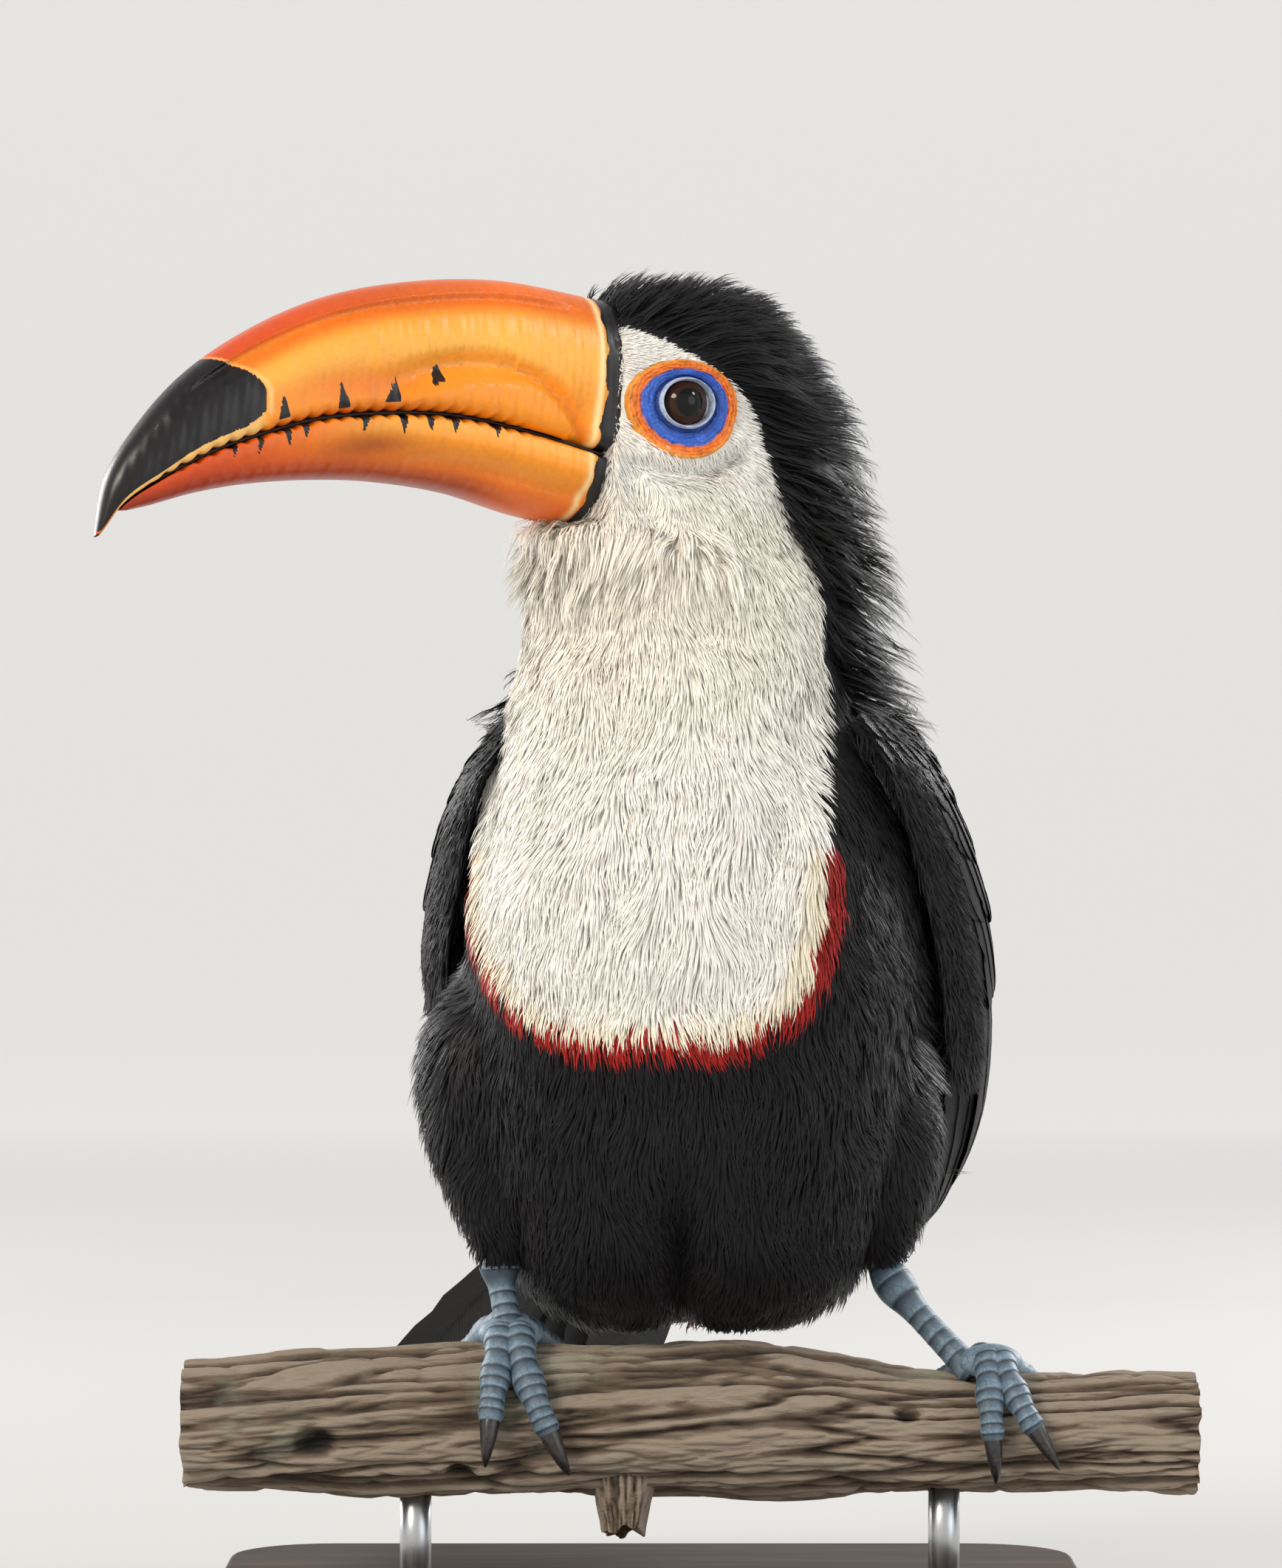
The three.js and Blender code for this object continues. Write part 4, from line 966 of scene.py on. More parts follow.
def swirl(points, size, seed):
    """A soft random number from -1 to 1 that changes over lengths of that size in mm."""
    return np.array([noise.noise((x / size + seed, y / size, z / size)) for x, y, z in points])


def lie(points, normals):
    """The way that feathers point: back from the bill over the head, down the body, and to the vent below."""
    level = points[:, 2]
    head = ease(level, 232, 258)[:, None]
    fall = np.interp(level, [235, 262, 290], [1.3, 0.45, 0.1])[:, None]
    over = -HEAD_AHEAD - fall * UP
    sweep = np.interp(level, [10, 70, 130], [0.9, 0.35, 0.12])[:, None]
    down = -UP + sweep * np.array([0, 1.0, 0])
    way = tangent(head * over + (1 - head) * down, normals)
    sway = (0.55 * swirl(points, 24, 3) + 0.5 * swirl(points, 9, 17))[:, None]
    return way * np.cos(sway) + np.cross(normals, way) * np.sin(sway)


def wing_cover():
    """A tree of points on the part of each wing that its feathers cover."""
    p, q = np.meshgrid(np.linspace(0.1, 0.95, 40), np.linspace(0.17, 0.92, 24))
    edge_p, edge_q = np.meshgrid(np.linspace(0.55, 0.95, 20), np.linspace(0.0, 0.15, 6))
    p, q = np.append(p, edge_p), np.append(q, edge_q)
    return point_tree(np.vstack([wing_surface(side)(p, q) for side in SIDES.values()]))


COVERED = wing_cover()


def uncovered(points, reach=6.0):
    return np.array([COVERED.find(p)[2] > reach for p in points])


def unwrap(points):
    """The skin's own unwrap: round the body's upright axis, and up it."""
    angle = np.arctan2(points[:, 0], -points[:, 1]) / TURN + 0.5
    return np.clip(np.stack([angle, points[:, 2] / 305], -1), 0.004, 0.996)


# ---------------------------------------------------------------- tufts
PATCH = 0.003  # how wide each tuft's patch is on the unwrap
SUNK = 0.9  # mm that a lying tuft's root is under the skin
WHITE_MOTTLE = {"bib": 0.38, "face": 0.6}


def interpolate(path, t):
    """Values of a path with even steps at shares t, which has a row for each path."""
    steps = path.shape[1] - 1
    x = np.clip(t, 0, 1) * steps
    i = np.minimum(x.astype(int), steps - 1)
    f = (x - i)[..., None]
    rows = np.arange(len(path)).reshape(-1, *([1] * (t.ndim - 1)))
    return path[rows, i] * (1 - f) + path[rows, i + 1] * f


def tufts(name, path, ups, colours, material, *, blades, stations, width, heights, spread, fan, barb,
          scatter, root_shade, mottle):
    """Tufts of flat tapered barbs that fan from each root along its path.

    width is each tuft's own, and heights are its heights off the skin at the path's steps. spread and fan are
    its width's share at the root and what the tip adds to that. colours(points) paints each barb by its tip.
    """
    count, stations = len(path), np.array(stations)
    mids = np.linspace(-1, 1, blades)[None]
    lateral = (mids + draw.normal(0, 0.16, (count, blades)))[:, :, None]
    reach = (1 - 0.22 * mids**2) * draw.uniform(0.8, 1.06, (count, blades))
    t = reach[:, :, None] * stations
    up = unit(interpolate(ups, t))
    height = interpolate(heights[:, :, None], t)[..., 0] + draw.normal(0, scatter, (count, blades, 1)) * t
    step = path[:, 1:] - path[:, :-1]
    way = unit(interpolate(np.concatenate([step, step[:, -1:]], 1), t))
    side = unit(np.cross(up, way))
    off_middle = lateral * (width[:, None, None] / 2) * (spread + fan * t)
    centre = interpolate(path, t) + up * height[..., None] + side * off_middle[..., None]
    profile = np.interp(stations, [0, 0.35, 0.75, 1], [0.8, 1, 0.62, 0.0])
    half = barb / 2 * profile * draw.uniform(0.8, 1.25, (count, blades, 1))
    roll = draw.normal(0, 0.35 * (0.5 + 0.5 * mottle), (count, blades, 1))[..., None]
    edge = side * np.cos(roll) + up * np.sin(roll)
    face = unit(np.cross(unit(np.gradient(centre, axis=2)), side))
    face = np.where(dot(face, up) < 0, -face, face)
    soft = unit(0.55 * face + 0.45 * up)

    def strip_of(low, high, tip):
        pairs = np.stack([low, high], 3)[:, :, :-1].reshape(count, blades, -1, 3)
        return np.concatenate([pairs, tip[:, :, -1:]], 2)

    points = strip_of(centre - edge * half[..., None], centre + edge * half[..., None], centre)
    normals = strip_of(unit(soft - 0.45 * edge), unit(soft + 0.45 * edge), soft)
    each = points.shape[2]
    strip = [row for a in range(0, each - 3, 2) for row in ([a, a + 3, a + 1], [a, a + 2, a + 3])]
    strip.append([each - 3, each - 1, each - 2])
    faces = (np.arange(count * blades)[:, None, None] * each + np.array(strip)[None]).reshape(-1, 3)
    tone = 0.16 * swirl(path[:, 0], 12, 5)[:, None, None, None] + draw.uniform(-0.16, 0.14, (count, 1, 1, 1))
    tone = 1 + mottle * (tone + draw.uniform(-0.1, 0.1, (count, blades, 1, 1)))
    share = np.append(np.repeat(stations[:-1], 2), stations[-1])
    # Painted shade: each barb is darker towards its root, under the feathers that lie over it, down to a
    # share of its colour at the root.
    gradient = (root_shade + (1 - root_shade) * share**0.8)[:, None]
    tips = centre[:, :, -1].reshape(-1, 3)
    painted = colours(tips + draw.normal(0, 0.3, tips.shape)).reshape(count, blades, 1, 4)
    spot = np.stack(np.broadcast_arrays(lateral * 0.4, share), -1) * PATCH
    uv = (unwrap(path[:, 0])[:, None, None] + spot * [0.5, -1]).reshape(-1, 2)
    mesh = mesh_from(name, points.reshape(-1, 3), faces, {"OFBake": uv}, normals.reshape(-1, 3))
    paint(mesh, "coat_colour", np.clip(painted * tone * gradient, 0, 1).reshape(-1, 4))
    show(name, mesh, [material])


def lying_heights(depth, rough, steps=5):
    """Heights off the skin at even shares: sunk at the root, then level with the coat's face."""
    t = np.linspace(0, 1, steps)
    lift = depth[:, None] * draw.uniform(0.72, 1.08, (len(depth), 1))
    rise = 1 - (1 - t) ** 2.2
    return -SUNK + (lift + SUNK) * rise + rough[:, None] * t**2 * draw.uniform(0, 1, (len(depth), 1))


def mane_region(points):
    """The crown, the back of the head and the nape, where the feathers stand up."""
    level = points[:, 2]
    return (level > 178) & (white_depth(points) < 0.5) & ((level > 225) | (np.abs(body_angle(points)) > 96))


def crown_region(points):
    return mane_region(points) & ~in_orbit(points)


def coat_region(zone, points):
    """Where the coat of bib, face, breast or back grows."""
    white, mane = white_depth(points) > -8, mane_region(points)
    high, front = points[:, 2] > 236, points[:, 1] < 12
    inside = {"bib": white & ~high, "face": white & high, "breast": ~white & ~mane & front,
              "back": ~white & ~mane & ~front}
    return inside[zone] & uncovered(points) & ~in_orbit(points, -1.5)


def body_length(points):
    level = points[:, 2]
    long = np.interp(level, [0, 60, 130, 200, 235, 262, 290], [13, 14.5, 13, 11, 8, 4.6, 3.6])
    return long + 3 * ease(np.abs(body_angle(points)), 60, 110) * (level < 190)


def contour_coat(ground, zone, region, spacing, length, blades, barb, rough,
                 stations=(0, 0.35, 0.72, 1)):
    """Tufts that lie along the skin, ragged low on the body's sides."""
    roots, normals = ground.scatter(spacing, region)
    lengths = length(roots) * draw.uniform(0.85, 1.15, len(roots))
    path, ups = ground.trails(roots, normals, lengths)
    clear = ~in_orbit(path[:, -1], -0.8) & uncovered(path[:, -1], 3.0)
    roots, lengths, path, ups = roots[clear], lengths[clear], path[clear], ups[clear]
    ragged = rough * (1 + 4.0 * ease(np.abs(body_angle(roots)), 55, 85) * (roots[:, 2] < 120))
    white = zone in WHITE_MOTTLE
    tufts(f"{zone}_feathers" if zone != "crown" else "crown_down", path, ups, plumage_colour,
          WHITE_COAT if white else BLACK_COAT, blades=blades, stations=stations, width=lengths * 0.5,
          heights=lying_heights(coat_depth(roots), ragged), spread=0.3, fan=0.85, barb=barb, scatter=0.3,
          root_shade=0.92 if white else 0.55, mottle=WHITE_MOTTLE.get(zone, 1.0))


# Zone, slot, spacing as a share of the feathers' length, barbs in a tuft, a barb's width, and roughness.
COATS = [("bib", "bib_plumage", 0.165, 9, 0.62, 0.5), ("face", "head_plumage", 0.18, 6, 0.42, 0.3),
         ("breast", "black_plumage", 0.165, 9, 0.8, 1.0), ("back", "black_plumage", 0.19, 9, 0.9, 0.9)]
CROWN_SPACING, CROWN_LENGTH = 1.8, 6.5


def make_coat(ground):
    for zone, slot, share, blades, barb, rough in COATS:
        contour_coat(ground, zone, lambda p: coat_region(zone, p), lambda p: body_length(p) * share,
                     body_length, blades, barb, rough)
    contour_coat(ground, "crown", crown_region, lambda p: CROWN_SPACING + 0 * p[:, 0],
                 lambda p: CROWN_LENGTH + 0 * p[:, 0], 6, 0.6, 1.5, (0, 0.5, 1))


def make_chin(ground):
    """Loose white feathers that hang from the chin under the bill's base."""
    def region(points):
        return (points[:, 2] > 212) & (points[:, 2] < 230) & (np.abs(body_angle(points)) < 62)

    roots, normals = ground.scatter(lambda p: 2.0 + 0 * p[:, 0], region)
    run = draw.uniform(9, 15, len(roots))
    path, ups = ground.trails(roots, normals, run)
    t = np.linspace(0, 1, path.shape[1])
    rise = draw.uniform(2.5, 9.5, len(roots)) * ease(roots[:, 2], 210, 224)
    heights = -0.8 + (rise + 2.6)[:, None] * (1 - (1 - t[None]) ** 1.5)
    tufts("chin_feathers", path, ups, plumage_colour, WHITE_COAT, blades=6,
          stations=(0, 0.35, 0.7, 1), width=run * 0.4, heights=heights, spread=0.7, fan=-0.2, barb=0.6,
          scatter=0.9, root_shade=0.8, mottle=0.6)


def make_mane(ground):
    """The erect crown and the mane down the nape, in fine tapered locks that bend back along the lie."""
    spacing = [180, 230, 290], [1.95, 1.75, 1.6]
    roots, normals = ground.scatter(lambda p: np.interp(p[:, 2], *spacing), crown_region)
    nape = 1 - ease(roots[:, 2], 255, 285)
    run = (11 + 6 * nape) * draw.uniform(0.8, 1.25, len(roots))
    edge = ease(-white_depth(roots), 0, 9)
    rise = (9 + 12 * nape) * draw.uniform(0.65, 1.15, len(roots)) * (0.25 + 0.75 * edge)
    path, ups = ground.trails(roots, normals, run)
    t = np.linspace(0, 1, path.shape[1])
    heights = -1 + (rise + 1)[:, None] * (1 - (1 - t[None]) ** 1.7)
    tufts("mane_feathers", path, ups, all_black, BLACK_COAT, blades=9,
          stations=(0, 0.3, 0.6, 0.85, 1), width=run * 0.33, heights=heights, spread=0.95, fan=-0.6, barb=0.6,
          scatter=0.8, root_shade=0.4, mottle=1.6)


SHOULDER_TUFTS, EDGE_TUFTS, SHOULDER_STEPS, WING_LENGTH = 1200, 1000, 5, 175


def make_shoulder(side, name):
    """Small loose coverts over the shoulder and down the wing's front edge, where it leaves the body."""
    surface = wing_surface(side)
    count = SHOULDER_TUFTS + EDGE_TUFTS
    p = np.concatenate([draw.uniform(0.0, 0.14, SHOULDER_TUFTS), draw.uniform(0.08, 0.6, EDGE_TUFTS)])
    q = np.concatenate([draw.uniform(0.03, 0.97, SHOULDER_TUFTS), draw.uniform(0.0, 0.09, EDGE_TUFTS)])
    run = draw.uniform(9, 13, count)
    share = np.linspace(0, 1, SHOULDER_STEPS)[None]
    p = (p[:, None] + (run / WING_LENGTH)[:, None] * share).ravel()
    q = np.clip(q[:, None] + (0.03 + draw.normal(0, 0.03, (count, 1))) * share, 0.01, 0.99).ravel()
    ups = wing_normal(surface, side, p, q)
    on_edge = np.repeat(np.arange(count) >= SHOULDER_TUFTS, SHOULDER_STEPS)
    raised = np.where(on_edge, 0.4 - 2.5 * p, 9.6 - plumage_height(p) - 16 * p)
    path = (surface(np.clip(p, 0.001, 1), q) + ups * raised[:, None]).reshape(count, SHOULDER_STEPS, 3)
    heights = -1.5 + draw.uniform(1.8, 3.4, (count, 1)) * (1 - (1 - share) ** 2)
    tufts(name, path, ups.reshape(path.shape), all_black, BLACK_COAT, blades=7,
          stations=(0, 0.35, 0.72, 1), width=run * 0.5, heights=heights, spread=0.3, fan=0.8, barb=0.85,
          scatter=0.4, root_shade=0.5, mottle=1.0)


# ---------------------------------------------------------------- vanes
VANE_ACROSS = np.array([-1, -0.72, -0.38, -0.07, 0, 0.07, 0.38, 0.72, 1])
VANE_STEPS = 18


def vane_points(place, length, width, tip_round):
    """One vane's grid: place(t, out, rise) gives points, and the edge splits into a few notches."""
    t = (1 - (1 - np.linspace(0, 1, VANE_STEPS)) ** 1.5)[:, None]
    blunt = 0.55 + 0.3 * tip_round
    shape = np.interp(t, [0, 0.12, 0.5, 1], [0.34, 0.62, 1, 0.9])
    shape = shape * np.sqrt(np.maximum(0.003, 1 - (np.maximum(0, t - blunt) / (1 - blunt)) ** 2))
    ragged = 1 - 0.07 * draw.random((VANE_STEPS, 2)) ** 3
    notch = (draw.random((VANE_STEPS, 2)) < 0.1) * draw.uniform(0.1, 0.3, (VANE_STEPS, 2))
    across = np.repeat(VANE_ACROSS[None], VANE_STEPS, 0)
    across[:, [0, -1]] *= ragged - notch * (t > 0.25) * min(1, 10 / width)
    shaft = np.interp(np.abs(VANE_ACROSS), [0, 0.07, 0.2], [0.42, 0.1, 0])[None] * (1 - 0.7 * t)
    camber = 0.5 * (1 - VANE_ACROSS[None] ** 2) * shape
    side = across * (width / 2 * shape)
    grid = place(t + 0 * side, side, shaft + camber)
    return grid, np.stack([side, np.repeat(t * length, len(VANE_ACROSS), 1)], -1) / VANE_UNIT, side


def vanes(name, feathers, replaces=()):
    """Feathers joined into one piece. Each is (place, length, width, tip round, colour, spot on the map)."""
    rows, columns = VANE_STEPS, len(VANE_ACROSS)
    k = np.arange((rows - 1) * (columns - 1))
    a = k // (columns - 1) * columns + k % (columns - 1)
    quads = np.stack([a, a + 1, a + columns + 1, a + columns], -1)
    points, faces, uvs, bakes, colours = [], [], [], [], []
    for i, (place, length, width, tip_round, colour, spot) in enumerate(feathers):
        grid, uv, side = vane_points(place, length, width, tip_round)
        middle = np.array([[0.5]])
        over = place(middle, 0 * middle, 1 + 0 * middle) - place(middle, 0 * middle, 0 * middle)
        face = np.cross(grid[9, 6] - grid[9, 2], grid[11, 4] - grid[7, 4])
        turned = quads if face @ over[0, 0] > 0 else quads[:, ::-1]
        t = uv[..., 1] * VANE_UNIT / length
        edge = ease(np.abs(np.repeat(VANE_ACROSS[None], rows, 0)), 0.6, 1.0)
        shade = mix(colour, PAINT["brown_edge"], 0.5 * edge * ease(t, 0.3, 1)) * draw.uniform(0.85, 1.15)
        shade[:, 3:6, :3] *= 0.75
        points.append(grid.reshape(-1, 3))
        faces.append(turned + i * rows * columns)
        uvs.append(uv.reshape(-1, 2))
        bakes.append((np.array(spot) + np.stack([side / width, -t], -1) * PATCH).reshape(-1, 2))
        colours.append(shade.reshape(-1, 4))
    maps = {"OFBake": np.vstack(bakes), "Vane": np.vstack(uvs)}
    mesh = mesh_from(name, np.vstack(points), np.vstack(faces), maps)
    paint(mesh, "coat_colour", np.vstack(colours))
    show(name, mesh, [VANE], replaces)


# From the wing's edge up: count, height, shares along the wing of roots and tips, span across it, width, tip.
WING_TIERS = [
    (9, 0.0, (0.48, 0.56), (0.86, 1.0), (0.07, 0.64), 15.0, 0.7),
    (9, 2.3, (0.36, 0.36), (0.83, 0.79), (0.24, 0.9), 14.0, 1.0),
    (4, 4.4, (0.24, 0.22), (0.66, 0.75), (0.76, 0.97), 15.0, 1.0),
    (13, 4.8, (0.26, 0.26), (0.53, 0.47), (0.06, 0.78), 10.5, 1.0),
    (14, 6.0, (0.19, 0.19), (0.4, 0.37), (0.06, 0.85), 10.0, 1.0),
    (15, 7.0, (0.13, 0.13), (0.31, 0.28), (0.06, 0.88), 9.5, 1.0),
    (15, 7.8, (0.07, 0.07), (0.23, 0.21), (0.06, 0.9), 9.0, 1.0),
    (15, 8.5, (0.02, 0.02), (0.16, 0.15), (0.06, 0.9), 9.0, 1.0),
    (14, 9.1, (0.0, 0.0), (0.1, 0.09), (0.07, 0.9), 9.0, 1.0),
]
VANE_TILT = 0.9
TIP_DROP = 1.3  # how far the tips of the longer feathers lie down on the tier below


def wing_vane(side, q, start, end, spacing, height, drop):
    """Where one wing feather lies."""
    surface = wing_surface(side)

    def place(t, out, rise):
        p = np.clip(start + (end - start) * t, 0.003, 0.997)
        per_q = np.linalg.norm(surface(p, q + 0.01 + 0 * p) - surface(p, q - 0.01 + 0 * p), axis=-1) / 0.02
        here = q + out / per_q
        stand = height - drop * t**3 - plumage_height(p) - (out / spacing) * VANE_TILT + rise - 0.3
        return surface(p, here) + wing_normal(surface, side, p, here) * stand[..., None]

    return place


def wing_feathers(side):
    surface = wing_surface(side)
    made = []
    for tier, (count, height, root, tip, across, width, tip_round) in enumerate(WING_TIERS):
        breadth = float(np.linalg.norm(surface(root[0], across[0]) - surface(root[0], across[1])))
        drop = TIP_DROP if 1 <= tier <= 3 else 0
        for share in np.arange(count) / (count - 1):
            q, start, end = (low + (high - low) * share + draw.normal(0, loose)
                             for (low, high), loose in ((across, 0.006), (root, 0.008), (tip, 0.01)))
            length = float(np.linalg.norm(surface(start, q) - surface(end, q)))
            place = wing_vane(side, q, start, end, breadth / (count - 1), height, drop)
            spot = (0.05 + 0.9 * q, 0.95 - 0.9 * max(start, 0))
            broad = width * draw.uniform(0.94, 1.08)
            made.append((place, length, broad, tip_round, PAINT["black_tip"], spot))
    return made


def tail_vane(share, level, length):
    """Where one tail feather lies, in its place of the fan from -1 to 1."""
    down, across, above = tail_frame()
    turn = math.radians(TAIL_FAN * share)
    line = down * math.cos(turn) + across * math.sin(turn)
    side_way = across * math.cos(turn) - down * math.sin(turn)

    def place(t, out, rise):
        return (TAIL_ROOT + across * TAIL_HALF * share + (4 + (length - 4) * t)[..., None] * line
                + out[..., None] * side_way + (level + rise - 5 * t * t)[..., None] * above)

    return place


def tail_feathers(count=10):
    made = []
    for i in range(count):
        share = (2 * i) / (count - 1) - 1
        pair = round(abs(share) * 4.5 - 0.5)
        level = -TAIL_STEP * (pair + (0 if share > 0 else 0.5))
        length = TAIL_LENGTH - TAIL_SHORTER * pair**1.3
        made.append((tail_vane(share, level, length), length, TAIL_WIDTH, 0.95, PAINT["black_tip"],
                     (0.2 + 0.06 * i, 0.9)))
    return made


COVERT_ROWS, COVERT_WIDTH, COVERT_FAN, COVERT_RISE = 4, 12.5, 9, 0.18


def covert_vane(sign, share, row, length):
    """Where one covert lies over the tail's root, or under it with a sign of -1."""
    down, across, above = tail_frame()
    turn = math.radians(COVERT_FAN * share)
    line = down * math.cos(turn) + across * math.sin(turn)

    def place(t, out, rise):
        base = TAIL_ROOT + across * 18.5 * share * (0.7 + 0.3 * t[..., None])
        run = -22 + 13 * row + length * t
        fall = np.interp(run, [-25, 0, 30, 60], [13, 12, 6, 2.2]) * math.sqrt(1 - 0.75 * share**2)
        drop = -3 + sign * (fall + COVERT_RISE) - (5.5 * share**2 if sign < 0 else 0)
        return (base + run[..., None] * line + out[..., None] * across
                + (drop + sign * rise)[..., None] * above)

    return place


def tail_coverts(sign, colour, reach):
    made = []
    for row in range(COVERT_ROWS):
        count = 7 - row % 2
        for i in range(count):
            length = reach * draw.uniform(0.9, 1.1)
            place = covert_vane(sign, (2 * i) / (count - 1) - 1, row, length)
            made.append((place, length, COVERT_WIDTH, 1.0, PAINT[colour], (0.1 + 0.1 * i, 0.8 - 0.1 * row)))
    return made


# ---------------------------------------------------------------- eyes and the bare skin round them
# Round an eye, k runs from 0 at the lid's opening through 1 and 2 to 3 at the bare skin's edge, oval by oval.
LAST_OVAL = 3.12
SINK_AT = 2.72  # past this k the bare skin dips under the coat
CORNEA_AT, CORNEA_BULGE = 0.78, 0.5


def make_eye(side, name):
    bm = bmesh.new()
    bmesh.ops.create_uvsphere(bm, u_segments=64, v_segments=48, radius=1)
    gaze = Vector(eye_axes(side)[0]).to_track_quat("Z", "Y")
    off = []
    for vertex in bm.verts:
        bulge = CORNEA_BULGE * max(0.0, vertex.co.z - CORNEA_AT) / (1 - CORNEA_AT)
        off.append(math.acos(max(-1, min(1, vertex.co.z))) / math.pi * 2)
        point = gaze @ (vertex.co * (EYE_RADIUS - 0.15 + bulge))
        vertex.co = placed(eye_centre(side) + np.array(point))
    mesh = finished(bm, name)
    keep_values(mesh, "off_gaze", off)
    show(name, mesh, [EYE], (name.replace("ball", ""),))


def fold_wave(k, turn):
    """Fine folds that wander round the lids, from -1 in a fold to 1 between folds."""
    wander = 0.09 * np.sin(turn * 4 + 1.3) + 0.05 * np.sin(turn * 9 + 5 * k) + 0.03 * np.sin(turn * 23)
    return np.sin((k + wander) * TURN * 3.6)


def orbit_colour(spots, k, turn):
    """Lid, blue ring and orange skin, blotched, with painted shade darkening the folds."""
    grown = 0.12 * swirl(spots, 3.4, 2) + 0.05 * swirl(spots, 1.1, 8)
    blue = 1 - ease(k + grown, 1.93, 2.1)
    colour = mix(PAINT["orange_skin"], PAINT["yellow_skin"], 0.7 * ease(k, 2.35, 2.9))
    colour = mix(colour, mix(PAINT["blue_skin"], PAINT["dark_blue"], ease(k, 1.7, 1.05)), blue)
    colour = mix(colour, PAINT["lid"], 0.9 * (1 - ease(k, 0.82, 1.02)))
    # Painted shade: darker in the folds that fold_wave also creases into the skin.
    folded = 1 - 0.22 * ease(-fold_wave(k, turn), 0.2, 1) * ease(k, 1.0, 1.2)
    blotched = 1 + 0.3 * swirl(spots, 2.3, 4) + 0.24 * swirl(spots, 0.9, 6)
    return mix(colour * (folded * blotched)[:, None], PAINT["black_root"], 1 - ease(k, 0.02, 0.16))


def make_orbit(ground, side, name, around=240, rings=110):
    """The lids and the creased bare skin, as a ring drawn over the head from oval to oval."""
    centre = eye_centre(side)
    out, aside, over = eye_axes(side)
    bm = bmesh.new()
    bmesh.ops.create_grid(bm, x_segments=around, y_segments=rings, size=1)
    co = (np.array([v.co for v in bm.verts]) + 1) / 2
    turn, k = co[:, 0] * TURN, co[:, 1] * LAST_OVAL
    ovals = oval_reach(turn)
    whole = np.minimum(k.astype(int), 2)
    rows = np.arange(len(k))
    radius = ovals[rows, whole] + (ovals[rows, whole + 1] - ovals[rows, whole]) * (k - whole)
    flat = oval_point(centre, turn, aside, radius, over, radius)
    cast = [ground.tree.ray_cast(Vector(point + out * 30), Vector(-out), 60)[0] for point in flat]
    skin = np.array([point if hit is None else hit for hit, point in zip(cast, flat)]) + out * 1.5
    crease = fold_wave(k, turn) * (0.13 + 0.07 * np.sin(turn * 5 + radius))
    crease += 0.14 * np.sin(turn * 38 + 1.6 * np.sin(radius * 1.3)) * ease(k, 1.9, 2.3)
    crease += 0.08 * np.sin(turn * 61 + 2 * np.sin(radius)) * ease(k, 1.1, 1.4)
    height = 1.5 * hill(k, 0.52, 0.3) - 0.75 * hill(k, 1.1, 0.12)
    height += crease * ease(k, 1.1, 1.4) - 0.4 * hill(k, 2.02, 0.07) - 3.0 * ease(k, SINK_AT, LAST_OVAL)
    on_skin = (skin - centre) @ out + height
    on_eye = np.sqrt(np.maximum(0, EYE_RADIUS**2 - radius**2)) - 0.1
    target = on_eye + (on_skin - on_eye) * ease(k, 0.0, 0.4)
    points = skin + out * (target - (skin - centre) @ out)[:, None]
    for vertex, point in zip(bm.verts, placed(points)):
        vertex.co = point
    bmesh.ops.remove_doubles(bm, verts=bm.verts, dist=1e-6)
    mesh = finished(bm, name)
    spots = spots_of(mesh)
    turn, away, _ = round_eye(spots, side)
    k = np.array([np.interp(a, oval, [0, 1, 2, 3]) for a, oval in zip(away, oval_reach(turn))])
    paint(mesh, "skin_colour", orbit_colour(spots, k, turn))
    if np.mean([Vector(out).dot(p.normal) for p in mesh.polygons]) < 0:
        mesh.flip_normals()
    show(name, mesh, [EYE_SKIN])


# ---------------------------------------------------------------- bill
BILL_LINES = {name: line_through(np.column_stack([points, np.zeros(len(points))]))
              for name, points in (("culmen", CULMEN), ("mouth", MOUTH), ("gonys", GONYS))}
# Black wedges along the mouth line: reach, gap from the line, height, half width, lean of the tip.
UPPER_MARKS = [(135, 3.0, 6.4, 1.8, 0.4), (117.5, 2.4, 7.2, 1.9, 0.9), (103, 3.2, 6.4, 2.4, -1.6),
               (89.5, 8.2, 6.0, 2.4, -1.5)]
LOWER_MARKS = [(148.5, 0, 4.6, 1.0, 0.5), (141, 0, 6.2, 1.2, 0.8), (133.7, 0, 6.0, 1.3, -0.9),
               (128, 0, 5.2, 1.4, 0.2), (110.2, 0, 5.4, 1.7, 1.2), (99, 0, 6.2, 1.7, 0.1),
               (90.8, 0, 5.6, 1.6, 0.5), (83.1, 0, 5.6, 1.7, 0.9), (70, 0, 4.6, 1.6, 0.8)]
SPOT_REACH, SPOT_TOP, SPOT_BEND = 140.4, 264.0, 0.151
# The pale strip under the tip's spot and the culmen's strip: reach, height.
STREAK = [[139, 141, 146, 160, 170, 179, 186], [7, 5.8, 3.4, 3.0, 1.8, 1.4, 0.9]]
BASE_BAND = 4.3
LOBE_REACH, LOBE_REAR, LOBE_FRONT, LOBE_TALL = 64.0, 17.5, 46.0, 13.7
RIDGE_DEPTH = [[28, 60, 100, 130, 158, 172], [5.2, 5.0, 4.8, 4.0, 3.0, 2.4]]
TOOTH_PITCH, TOOTH_DEPTH = 4.6, 0.8


def bill_level(line, reach):
    """The level of the culmen, mouth or gonys at a reach."""
    return np.interp(reach, BILL_LINES[line][:, 0], BILL_LINES[line][:, 1])


